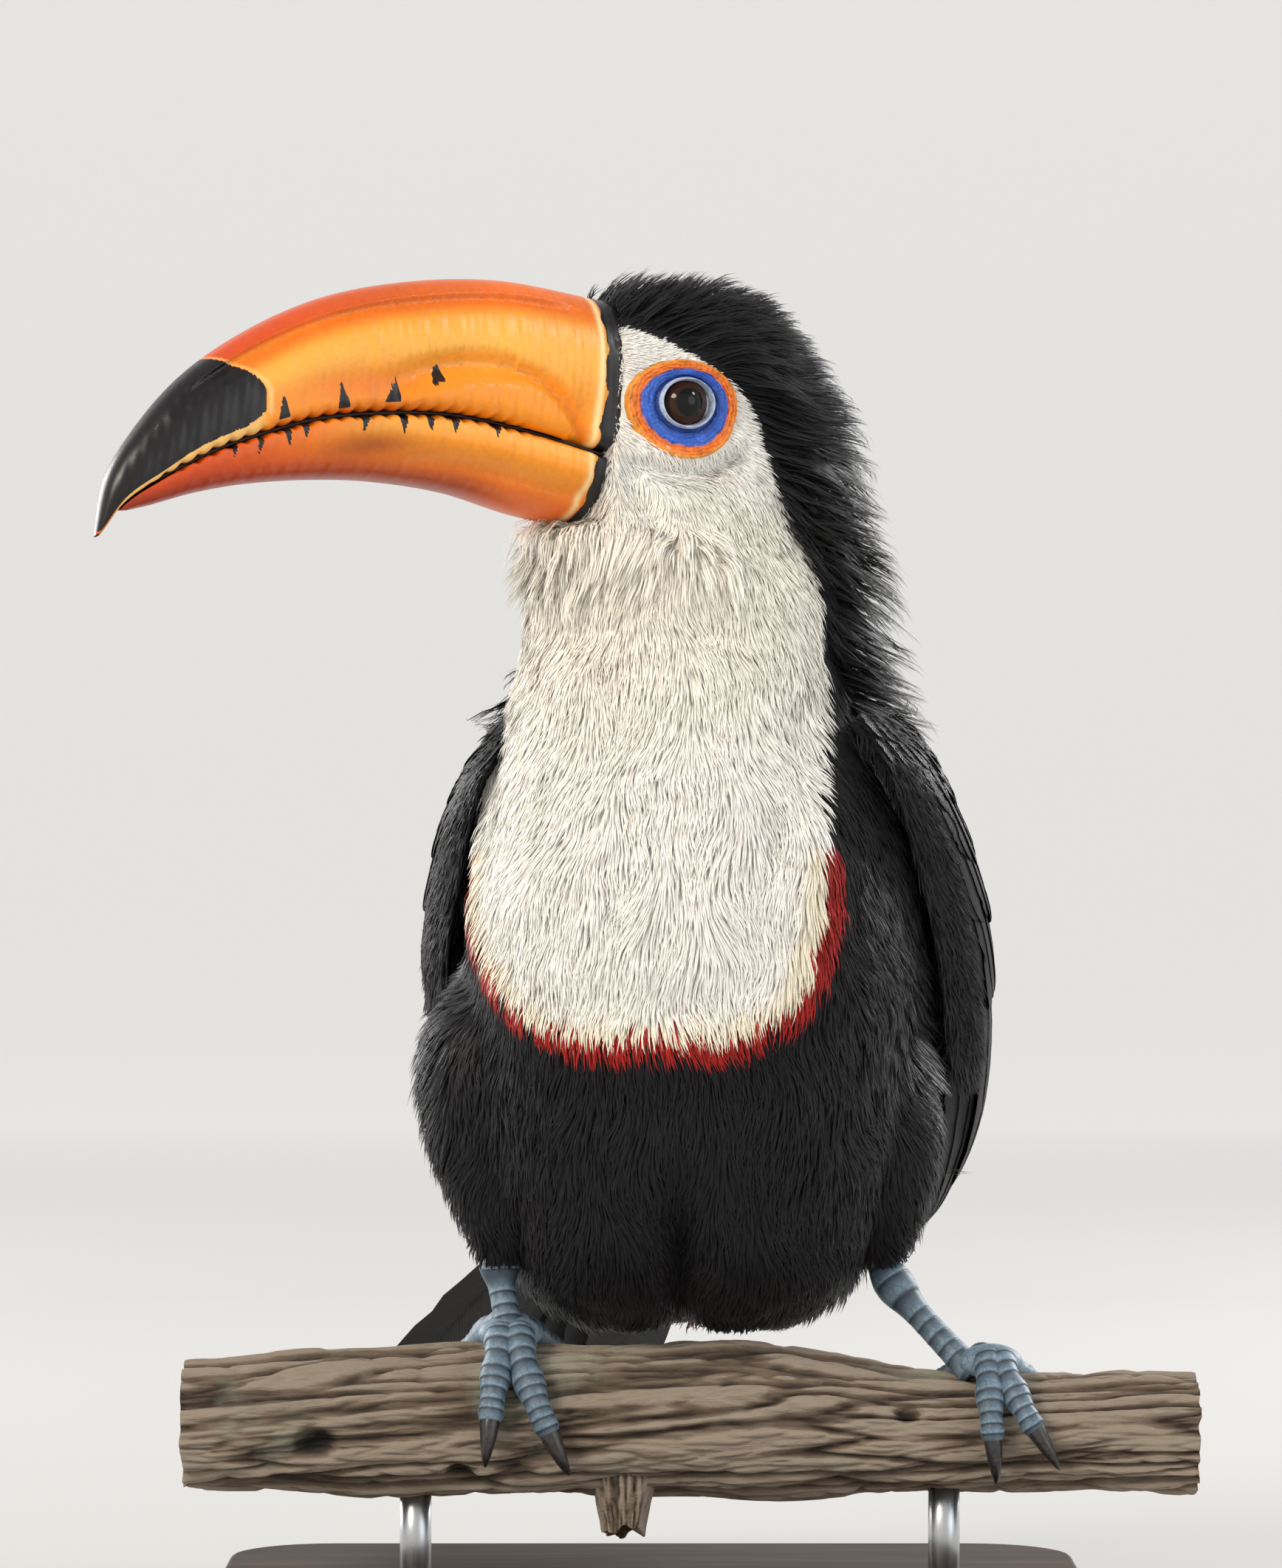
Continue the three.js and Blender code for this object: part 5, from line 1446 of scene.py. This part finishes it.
def bill_relief(reach, height, lower):
    """How far the horn stands out sideways or is drawn in, in mm."""
    off = np.abs(height - bill_level("mouth", reach))
    band = -0.7 * (1 - ease(reach - face_plane(height), BASE_BAND - 0.6, BASE_BAND + 0.9))
    growth = band + 0.07 * np.sin(reach * 0.9 + 3 * np.sin(height * 0.08))
    growth += 0.05 * np.sin(reach * 2.3 + height * 0.3)
    if lower:
        near = stretch(reach, 36, 44, 84, 104)
        out = (1.6 * hill(off, 7.5, 4) - 2.0 * hill(off, 13.6, 1.9)) * near
        return out - 0.9 * hill(off, 9.5, 2.6) * hill(reach, 108, 14) + growth
    rear = reach < LOBE_REACH
    span = np.where(rear, LOBE_REAR, LOBE_FRONT)
    bend = np.where(rear, 2.0, 1.5)
    edge = (1 - (np.abs(reach - LOBE_REACH) / span) ** bend - (off / LOBE_TALL) ** bend) * 6.5
    out = (2.8 * ease(edge, -0.3, 2.0) - 3.4 * hill(edge, -2.0, 2.1)) * (1 - ease(reach, 84, 112))
    out -= 1.6 * hill(reach, 42, 3.5) * hill(off, 9, 8) + 0.8 * hill(off, 9, 4) * hill(reach, 114, 18)
    below = bill_level("culmen", reach) - height - np.interp(reach, *RIDGE_DEPTH)
    out += (0.7 * hill(below, -0.6, 0.9) - 2.2 * hill(below, 1.6, 1.8)) * stretch(reach, 36, 52, 150, 168)
    return out + growth


def half_bill(lower):
    outer = BILL_LINES["gonys" if lower else "culmen"]
    lift = -GAP / 2 if lower else GAP / 2
    fullest, square = (0.16, 2.1) if lower else (0.2, 2.3)
    slim_reach, slim_width = (0.95, 0.93) if lower else (1, 1)
    around, rings = (104, 260) if lower else (150, 330)

    def place(u, t, end):
        share = t * 0.997
        edge = along(BILL_LINES["mouth"], share * slim_reach)
        rim = along(outer, share)
        tooth = np.abs(np.sin(math.pi * edge[:, 0] / TOOTH_PITCH)) ** 3 * TOOTH_DEPTH
        edge[:, 1] += lift + np.sign(lift) * tooth * stretch(share, 0.14, 0.2, 0.84, 0.9)
        rise = np.sin(u * TURN)
        half = through(BILL_WIDTH, share * slim_reach)[:, 1] * slim_width
        across = half * power(np.cos(u * TURN), 2 / np.where(rise > 0, square, 5.0)) * ~end
        upper = fullest + (1 - fullest) * power(rise, 2 / square)
        q = np.where(end, 0.5, np.where(rise > 0, upper, fullest * (1 - np.abs(rise) ** 0.4)))
        reach = edge[:, 0] + (rim[:, 0] - edge[:, 0]) * q
        height = edge[:, 1] + (rim[:, 1] - edge[:, 1]) * q
        out = np.sign(across) * bill_relief(reach, height, lower) * np.minimum(1, np.abs(across) / 5)
        tucked = np.where(share <= 0, -3.0, 0.0)
        return in_head(reach + tucked, height, across + out * ease(half, 2, 7))

    return drawn_bmesh(around, rings, place)


def spot_rear(height):
    """Where the tip's black spot starts, rounded at its top."""
    return SPOT_REACH + SPOT_BEND * np.maximum(0, height - SPOT_TOP) ** 2


def bill_marks(reach, height, lower):
    """How black the horn is: the basal band, the tip spot and the wedges along the mouth line."""
    wavy = 0.7 * np.sin(height * 0.42) + 0.45 * np.sin(height * 1.05 + 1)
    band = 1 - ease(reach - face_plane(height), BASE_BAND - 0.4 + wavy, BASE_BAND + 0.6 + wavy)
    off = (height - bill_level("mouth", reach)) * (-1 if lower else 1)
    spot = ease(reach - spot_rear(height), -0.5, 0.5) * ease(off - np.interp(reach, *STREAK), -0.4, 0.6)
    marks = 0 * reach
    for centre, gap, tall, wide, lean in LOWER_MARKS if lower else UPPER_MARKS:
        up = np.clip((off - gap) / tall, 0, 1)
        half = wide * (1 - up) ** 0.8
        inside = ease(half - np.abs(reach - centre - lean * up), -0.1, 0.35)
        marks = np.maximum(marks, inside * (off < tall + gap) * ease(off, gap - 0.7, gap - 0.1))
    line = (1 - ease(np.abs(off), 0.25, 0.75)) * 0.75
    return np.clip(np.maximum.reduce([band, spot * (not lower), marks, line]), 0, 1)


def lower_bill_colour(reach, height, mouth_at):
    rise = np.clip((height - bill_level("gonys", reach)) / 16, 0, 1)
    below = mouth_at - height
    colour = mix(PAINT["deep_horn"], PAINT["orange_horn"], ease(rise, 0.1, 0.7))
    colour = mix(colour, PAINT["yellow_horn"], 0.6 * hill(below, 3, 3) * (1 - ease(reach, 100, 130)))
    colour = mix(colour, PAINT["red_horn"], 0.85 * ease(reach, 92, 160))
    # Brown along the lower edge: partly the horn's own darker edge, partly painted shade on the underside.
    colour = mix(colour, PAINT["brown_horn"], 0.75 * (1 - ease(rise, 0.05, 0.4)) * ease(reach, 50, 80))
    # Brown in the dent low on the side: partly the dark patch that some of these bills have, partly painted
    # shade in the dent.
    return mix(colour, PAINT["brown_horn"], 0.6 * hill(below, 9, 3.4) * hill(reach, 108, 13))


def upper_bill_colour(reach, height, mouth_at):
    top, over = bill_level("culmen", reach), height - mouth_at
    deep, red = PAINT["deep_horn"], PAINT["red_horn"]
    share = np.clip(over / np.maximum(top - mouth_at, 1), 0, 1)
    ridge, streak = np.interp(reach, *RIDGE_DEPTH), np.interp(reach, *STREAK)
    colour = mix(PAINT["orange_horn"], PAINT["yellow_horn"], hill(share, 0.56, 0.2) * 0.85)
    # Painted shade: a deep band in the groove under the culmen's strip.
    colour = mix(colour, deep, 0.8 * hill(top - height, 7, 2.6))
    redder = mix(deep, red, ease(reach, 50, 150))
    colour = mix(colour, redder, 0.9 * ease(top - height, ridge + 1.6, ridge - 1.0))
    # Painted shade: deeper orange in the trough above the mouth line.
    colour = mix(colour, deep, 0.5 * hill(over, 8, 4) * hill(reach, 112, 20))
    colour = mix(colour, red, 0.5 * (1 - ease(share, 0.0, 0.16)) * ease(reach, 60, 110) * (reach < 139))
    rim = hill(reach - spot_rear(height), -1.3, 0.8) * ease(over, 4, 6)
    strip = stretch(reach, 139, 143, 178, 183) * (1 - ease(over, streak, streak + 1))
    return mix(colour, PAINT["spot_rim"], 0.8 * np.maximum(rim, strip))


def make_bill(lower):
    node, name = ("bill_lower", "lower_bill_horn") if lower else ("bill_upper", "upper_bill_horn")
    mesh = finished(half_bill(lower), name)
    spots = spots_of(mesh)
    reach, height = head_reach(spots), spots[:, 2]
    keep_values(mesh, "bill_black", bill_marks(reach, height, lower))
    colour = (lower_bill_colour if lower else upper_bill_colour)(reach, height, bill_level("mouth", reach))
    colour = mix(colour, PAINT["base_rim"], 0.9 * hill(reach - face_plane(height) - BASE_BAND, 1.9, 1.1))
    paint(mesh, "bill_colour", colour)
    show(name, mesh, [bill_material(name)], (node,))


def tongue_place(u, t, end):
    """The dark lining that closes the mouth between the halves of the bill."""
    middle = along(BILL_LINES["mouth"], t * 0.86)
    half = (through(BILL_WIDTH, t * 0.86)[:, 1] * 0.86 - 1.2) * ~end
    return in_head(middle[:, 0], middle[:, 1] + 1.5 * np.sin(u * TURN) * (half > 0), half * np.cos(u * TURN))


# ---------------------------------------------------------------- branch
BRANCH_CUT = 0.95  # how far the bark's own middle lies inside the solids' branch
# Where twigs broke out: x, angle, half sizes.
KNOTS = [(-103.0, 104.0, 5.5, 0.24), (64.0, 70.0, 3.5, 0.13), (-62.0, 128.0, 4.0, 0.12)]
KNOT_DEPTH, BARK_DEPTH, BARK_FACE = 3.6, 3.4, 0.78
STUB_ROOT, STUB_LEAN = np.array([-16, -8, -42.5]), math.radians(104)


def branch_axis(x):
    taper = np.where(x < 0, (x / BRANCH_LEFT) ** 2, 0)
    return np.stack([x, 0 * x, -BRANCH_RADIUS - 3.6 * ease(x, 18, 88) - taper], -1)


def on_branch(x, angle, height):
    """Points over the branch at an angle from its top towards the front."""
    taper = np.where(x < 0, (x / BRANCH_LEFT) ** 2, 0)
    waves = 0.5 * np.sin(x / 17 + 2 * angle) + 0.45 * np.sin(x / 9 - 3 * angle + 1)
    radius = BRANCH_RADIUS - 5.2 * ease(x, 18, 88) - 3 * taper + waves - BRANCH_CUT + height
    return branch_axis(x) + np.stack([0 * x, -radius * np.sin(angle), radius * np.cos(angle)], -1)


def bark_relief(x, angle):
    """Long fissures and plates of bark, from 0 in a fissure to 1 on a plate."""
    out = np.zeros(len(x))
    for i, (a, s) in enumerate(zip(angle + x * 0.0035, x)):
        round_x, round_y = math.cos(a) * 3.3, math.sin(a) * 3.3
        warp = noise.noise((s * 0.014, round_x * 0.5, round_y * 0.5)) * 1.1
        ridge = abs(noise.noise((s * 0.015 + warp, round_x * 1.3 + warp * 0.5, round_y * 1.3)))
        fine = abs(noise.noise((s * 0.07, round_x * 3.1, round_y * 3.1 + warp)))
        out[i] = min(1.0, ridge * 3.2) * 0.72 + min(1.0, fine * 3.0) * 0.28
    return out


def knot(x, angle):
    """Where old twigs broke out of the branch, from 0 to 1."""
    deep = 0 * x
    for at, turn, long, wide in KNOTS:
        off = ((x - at) / long) ** 2 + ((angle - math.radians(turn)) / wide) ** 2
        deep = np.maximum(deep, np.exp(-off**2))
    return deep


def branch_place(u, t, end):
    x = BRANCH_LEFT + (BRANCH_RIGHT - BRANCH_LEFT) * t
    angle = u * TURN
    relief, knots = bark_relief(x, angle), knot(x, angle)
    cut = (t <= 0) | (t >= 1)
    points = on_branch(x, angle, ((relief - BARK_FACE) * BARK_DEPTH - KNOT_DEPTH * knots) * (1 - 0.4 * cut))
    splinter = [noise.noise((3 * math.cos(a), 3 * math.sin(a), 0.02 * s)) for a, s in zip(angle, x)]
    points[:, 0] += np.sign(x) * np.minimum(0, 1.6 * np.array(splinter) - 0.5) * ease(np.abs(x), 126, 141)
    points[end] = branch_axis(x[end]) - np.sign(x[end])[:, None] * [0.8, 0, 0]
    return points, np.where(end, 0.6, relief - 0.8 * knots)


def make_branch():
    bm = drawn_bmesh(260, 300, branch_place, layer="bark_height")
    bm.normal_update()
    middle, half = (BRANCH_LEFT + BRANCH_RIGHT) / 2, (BRANCH_RIGHT - BRANCH_LEFT) / 2
    for face in bm.faces:
        off_end = abs(face.calc_center_median().x / MM - middle) - half
        if abs(face.normal.x) > 0.7 and abs(off_end) < 3:
            face.material_index = 1
    mesh = finished(bm, "perch_bark")
    spots = spots_of(mesh)
    off_axis = (spots - branch_axis(spots[:, 0]))[:, 1:]
    keep_values(mesh, "growth", np.linalg.norm(off_axis, axis=1) / BRANCH_RADIUS)
    show("perch_bark", mesh, [BARK, sawn_material()], ("perch_branch",))


def stub_place(u, t, end):
    """The broken twig under the branch, with a hollow torn end."""
    down = np.array([0.0, math.cos(STUB_LEAN), -math.sin(STUB_LEAN)])
    angle = u * TURN
    relief = bark_relief(t * 40 + 300, angle)
    torn_end = end & (t >= 1)
    radius = ((10.2 - 4.6 * t) * (0.45 + 0.55 * ease(t, 0, 0.4)) + (relief - 0.6) * 2.0) * ~end
    torn = ease(t, 0.9, 1) * (1.2 * np.sin(angle * 3 + 1) + 0.8 * np.sin(angle * 7))
    run = -11 + 22 * t + torn * 0.8 - 3 * torn_end
    across, middle = np.array([1.0, 0, 0]), STUB_ROOT + run[:, None] * down
    points = oval_point(middle, angle, across, radius, np.cross(down, across), radius)
    return points, relief - 0.5 * torn_end


# ---------------------------------------------------------------- feet
ANKLE_AT = 0.3
PAD = np.array([9, 7, 4.8])  # half sizes of the foot's pad
CLAW_SHARE = 0.72  # a claw's radius at its root for 1 of the toe's
SCUTE_DEPTH, TOE_SCUTE, SHANK_SCUTE = 0.42, 3.4, 5.0


def off_bark(centre):
    return (centre - branch_axis(centre[:, 0])) * [0, 1, 1]


def forwards(centre):
    return np.array([0.0, -1.0, 0.0]) + 0 * centre


def toe_line(foot, toe):
    offset, reach, drift, radius = toe
    t = np.linspace(0, 1, 6)
    angle = foot[1] + (reach - foot[1]) * (0.05 + 0.95 * t)
    lift = radius + GAP + 0.35 + 2.2 * (1 - t) ** 3
    x = foot[0] + offset * (0.4 + 0.6 * t) + drift * t * t
    return line_through(on_branch(x, np.radians(angle), lift))


def tube(line, radius, front, scutes=0.0, pitch=2.2):
    """A limb along a line with flat ends, crossed by scutes on the side that front(centres) faces."""
    length = np.linalg.norm(np.diff(line, axis=0), axis=1).sum()

    def place(u, t, end):
        centre = along(line, t)
        way = unit(along(line, np.clip(t + 0.01, 0, 1)) - along(line, np.clip(t - 0.01, 0, 1)))
        over = tangent(front(centre), way)
        angle = u * TURN
        shield = ease(np.cos(angle), -0.25, 0.25)
        phase = (t * length / pitch + 0.1 * np.cos(angle) + 0.3 * np.sin(t * 9) + 0.1 * np.sin(t * 23)) % 1
        band = 1 - shield * (1 - phase**0.6 * ease(1 - phase, 0, 0.16))
        r = (radius(t) + scutes * (band - 0.8) * (1 - ease(t, 0.86, 0.98))) * ~end
        return oval_point(centre, angle, over, r, np.cross(way, over), r), band

    return place


def toe_radius(size):
    """Three knuckles, slimmer towards the tip, and closed there to a dome."""
    def radius(t):
        slim = (1.07 + 0.11 * np.sin(t * TURN * 2.5)) * (1.04 - 0.2 * t - 0.12 * ease(t, 0.62, 0.95))
        return size * slim * np.sqrt(np.maximum(0.02, 1 - np.maximum(0, (t - 0.84) / 0.16) ** 2))
    return radius


def claw_line(toe, line):
    """A claw's curve on from its toe: out over the bark, then down to it."""
    tip, way = line[-1], unit(line[-1] - line[-3])
    out = unit((tip - branch_axis(tip[0])) * [0, 1, 1])
    bend = [tip - way * 4.0, tip + way * 3.5 + out * 1.5, tip + way * 8.6 + out * 1.4,
            tip + way * 11.0 - out * (toe[3] * CLAW_SHARE + 0.4)]
    t = np.linspace(0, 1, 40)[:, None]
    early = (1 - t) ** 3 * bend[0] + 3 * t * (1 - t) ** 2 * bend[1]
    return early + 3 * t * t * (1 - t) * bend[2] + t**3 * bend[3]


def shank_radius(t):
    return 3.7 + 2.1 * hill(t, ANKLE_AT, 0.13) + 0.8 * t**6


def make_leg(side, leg):
    foot_x, foot_angle = leg["foot"]
    rest = on_branch(np.array([foot_x]), np.radians([foot_angle]), 5.4)[0]
    legs, claws = bmesh.new(), bmesh.new()
    for toe in leg["toes"]:
        line = toe_line(leg["foot"], toe)
        drawn_bmesh(36, 140, tube(line, toe_radius(toe[3]), off_bark, SCUTE_DEPTH, TOE_SCUTE), legs, "crease")
        root = toe[3] * CLAW_SHARE
        claw = tube(claw_line(toe, line), lambda t: root * (1 - 0.92 * t**1.6), off_bark)
        drawn_bmesh(32, 44, claw, claws, "ridge")
    ankle = np.array(leg["ankle"], float)
    knee = np.array(leg["thigh"][-1][:3], float) + [0, 0, 6]
    heel = rest + leg["heel"]
    shank = line_through([knee, 0.75 * ankle + 0.25 * knee, 0.8 * ankle + 0.2 * heel, heel])
    drawn_bmesh(44, 150, tube(shank, shank_radius, forwards, SCUTE_DEPTH, SHANK_SCUTE), legs, "crease")

    def pad(u, t, end):
        polar, tilt = t * math.pi, math.radians(foot_angle)
        ball = [np.sin(polar) * np.cos(u * TURN), np.sin(polar) * np.sin(u * TURN), np.cos(polar)]
        x, y, z = np.array(ball) * PAD[:, None]
        turned = [x, y * math.cos(tilt) - z * math.sin(tilt), y * math.sin(tilt) + z * math.cos(tilt)]
        return rest + np.stack(turned, -1), 0.85 + 0 * u

    drawn_bmesh(40, 32, pad, legs, "crease", flat=False)
    nodes = (f"shank_{side}", f"foot_{side}")
    show(f"leg_{side}", finished(legs, f"leg_{side}"), [LEG_SKIN], nodes)
    nodes = [f"claw_{side}_{i + 1}" for i in range(len(leg["toes"]))]
    show(f"claws_{side}", finished(claws, f"claws_{side}"), [CLAW], nodes)


# ---------------------------------------------------------------- stand
ROD_RADIUS, BASE_EDGE = 4.5 * MM, 1.6 * MM
RODS = {"right": -75.0, "left": 75.0}


def make_base():
    """The base's own shape with its edges rounded."""
    bm = bmesh.new()
    bm.from_mesh(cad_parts["stand_base"].data)
    bmesh.ops.remove_doubles(bm, verts=bm.verts, dist=1e-6)
    bmesh.ops.dissolve_limit(bm, angle_limit=math.radians(2), verts=bm.verts, edges=bm.edges)
    sharp = [e for e in bm.edges if e.is_manifold and e.calc_face_angle() > math.radians(60)]
    bmesh.ops.bevel(bm, geom=sharp, offset=BASE_EDGE, segments=4, profile=0.5, affect="EDGES", material=-1,
                    clamp_overlap=True)
    mesh = finished(bm, "base_board", smooth=False)
    show("base_board", mesh, [walnut_material()], ("stand_base",))


def make_rods():
    steel = steel_material()
    for side, x in RODS.items():
        node = f"stand_rod_{side}"
        low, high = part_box(node)
        bm = bmesh.new()
        bmesh.ops.create_cone(bm, cap_ends=True, segments=64, radius1=ROD_RADIUS, radius2=ROD_RADIUS,
                              depth=high.z - low.z)
        bmesh.ops.translate(bm, verts=bm.verts, vec=(x * MM, 0, (high.z + low.z) / 2))
        mesh = finished(bm, f"rod_{side}", smooth=False)
        for polygon in mesh.polygons:
            polygon.use_smooth = abs(polygon.normal.z) < 0.5
        show(f"rod_{side}", mesh, [steel], (node,))


# ---------------------------------------------------------------- studio, in metres
FLOOR_RADIUS, FOOT_RADIUS, WALL_TOP = 3.4, 1.2, 4.2
MIDDLE, EYE_AIM = (0, 0, 0.22), (0.0, 0.0, 0.34)
# Name, place, what it aims at, width, watts, colour.
LIGHTS = [
    ("key_light", (-1.3, -1.5, 1.5), MIDDLE, 0.9, 32, "#fff6ea"),
    ("fill_light", (1.6, -1.3, 0.7), MIDDLE, 1.4, 6, "#eef4ff"),
    ("rim_right", (1.2, 1.1, 0.9), MIDDLE, 0.8, 24, "#ffffff"),
    ("rim_left", (-1.4, 1.1, 0.7), MIDDLE, 0.9, 20, "#ffffff"),
    ("eye_light", (1.25, -0.35, 1.35), EYE_AIM, 0.35, 4, "#ffffff"),
]
SKY, SKY_STRENGTH = "#f4f6f8", 0.5
CAMERA_PLACE, LENS, SENSOR = (-0.011, -1.8, 0.241), 145.5, 36  # millimetres for the last two


def make_studio():
    """A round cove: flat floor, curved foot and an upright wall, open above."""
    bm = bmesh.new()
    profile = [(0.0, 0.0), (FLOOR_RADIUS, 0.0)]
    profile += [(FLOOR_RADIUS + FOOT_RADIUS * math.sin(a), FOOT_RADIUS - FOOT_RADIUS * math.cos(a))
                for a in np.linspace(0.15, math.pi / 2, 10)]
    profile.append((FLOOR_RADIUS + FOOT_RADIUS, WALL_TOP))
    corners = [bm.verts.new((radius, 0, height)) for radius, height in profile]
    edges = [bm.edges.new(pair) for pair in zip(corners, corners[1:])]
    bmesh.ops.spin(bm, geom=corners + edges, cent=(0, 0, 0), axis=(0, 0, 1), angle=TURN, steps=96,
                   use_merge=True)
    bmesh.ops.remove_doubles(bm, verts=bm.verts, dist=1e-5)
    mesh = finished(bm, "studio_cove")
    mesh.flip_normals()
    mesh.materials.append(studio_material())
    add_object("studio_cove", mesh)


def make_lights():
    for name, place, aim, size, watts, colour in LIGHTS:
        data = bpy.data.lights.new(name, "AREA")
        data.shape, data.size, data.energy, data.color = "DISK", size, watts, linear(colour)[:3]
        lamp = add_object(name, data)
        lamp.location = place
        lamp.rotation_euler = (Vector(aim) - Vector(place)).to_track_quat("-Z", "Y").to_euler()
    world = bpy.data.worlds.new("studio_sky")
    world.use_nodes = True
    sky = world.node_tree.nodes["Background"]
    connect(world.node_tree, sky, {"Color": linear(SKY), "Strength": SKY_STRENGTH})
    bpy.context.scene.world = world
    bpy.context.scene.view_settings.view_transform = "Standard"


def make_camera():
    data = bpy.data.cameras.new("camera")
    data.sensor_width = data.sensor_height = SENSOR
    data.lens = LENS
    data.clip_start, data.clip_end = 0.05, 40
    camera = add_object("camera", data)
    camera.location = CAMERA_PLACE
    camera.rotation_euler = (math.pi / 2, 0, 0)
    bpy.context.scene.camera = camera


# ---------------------------------------------------------------- the scene
ground = Ground(make_skin())
make_coat(ground)
make_mane(ground)
make_chin(ground)
for word, number in SIDES.items():
    make_shoulder(number, f"shoulder_{word}")
for word, number in SIDES.items():
    vanes(f"wing_{word}_feathers", wing_feathers(number), (f"wing_{word}",))
vanes("tail_feathers", tail_feathers(), ("tail",))
vanes("rump_coverts", tail_coverts(1, "white", 24))
vanes("undertail_coverts", tail_coverts(-1, "red", 26))
for word, number in SIDES.items():
    make_eye(number, f"eyeball_{word}")
    make_orbit(ground, number, f"eye_skin_{word}")
make_bill(False)
make_bill(True)
show("tongue", finished(drawn_bmesh(24, 60, tongue_place), "tongue"), [LINING])
make_branch()
show("twig_stub", finished(drawn_bmesh(72, 70, stub_place, layer="bark_height"), "twig_stub"), [BARK])
for word, limb in LEGS.items():
    make_leg(word, limb)
make_base()
make_rods()
make_studio()
make_lights()
make_camera()
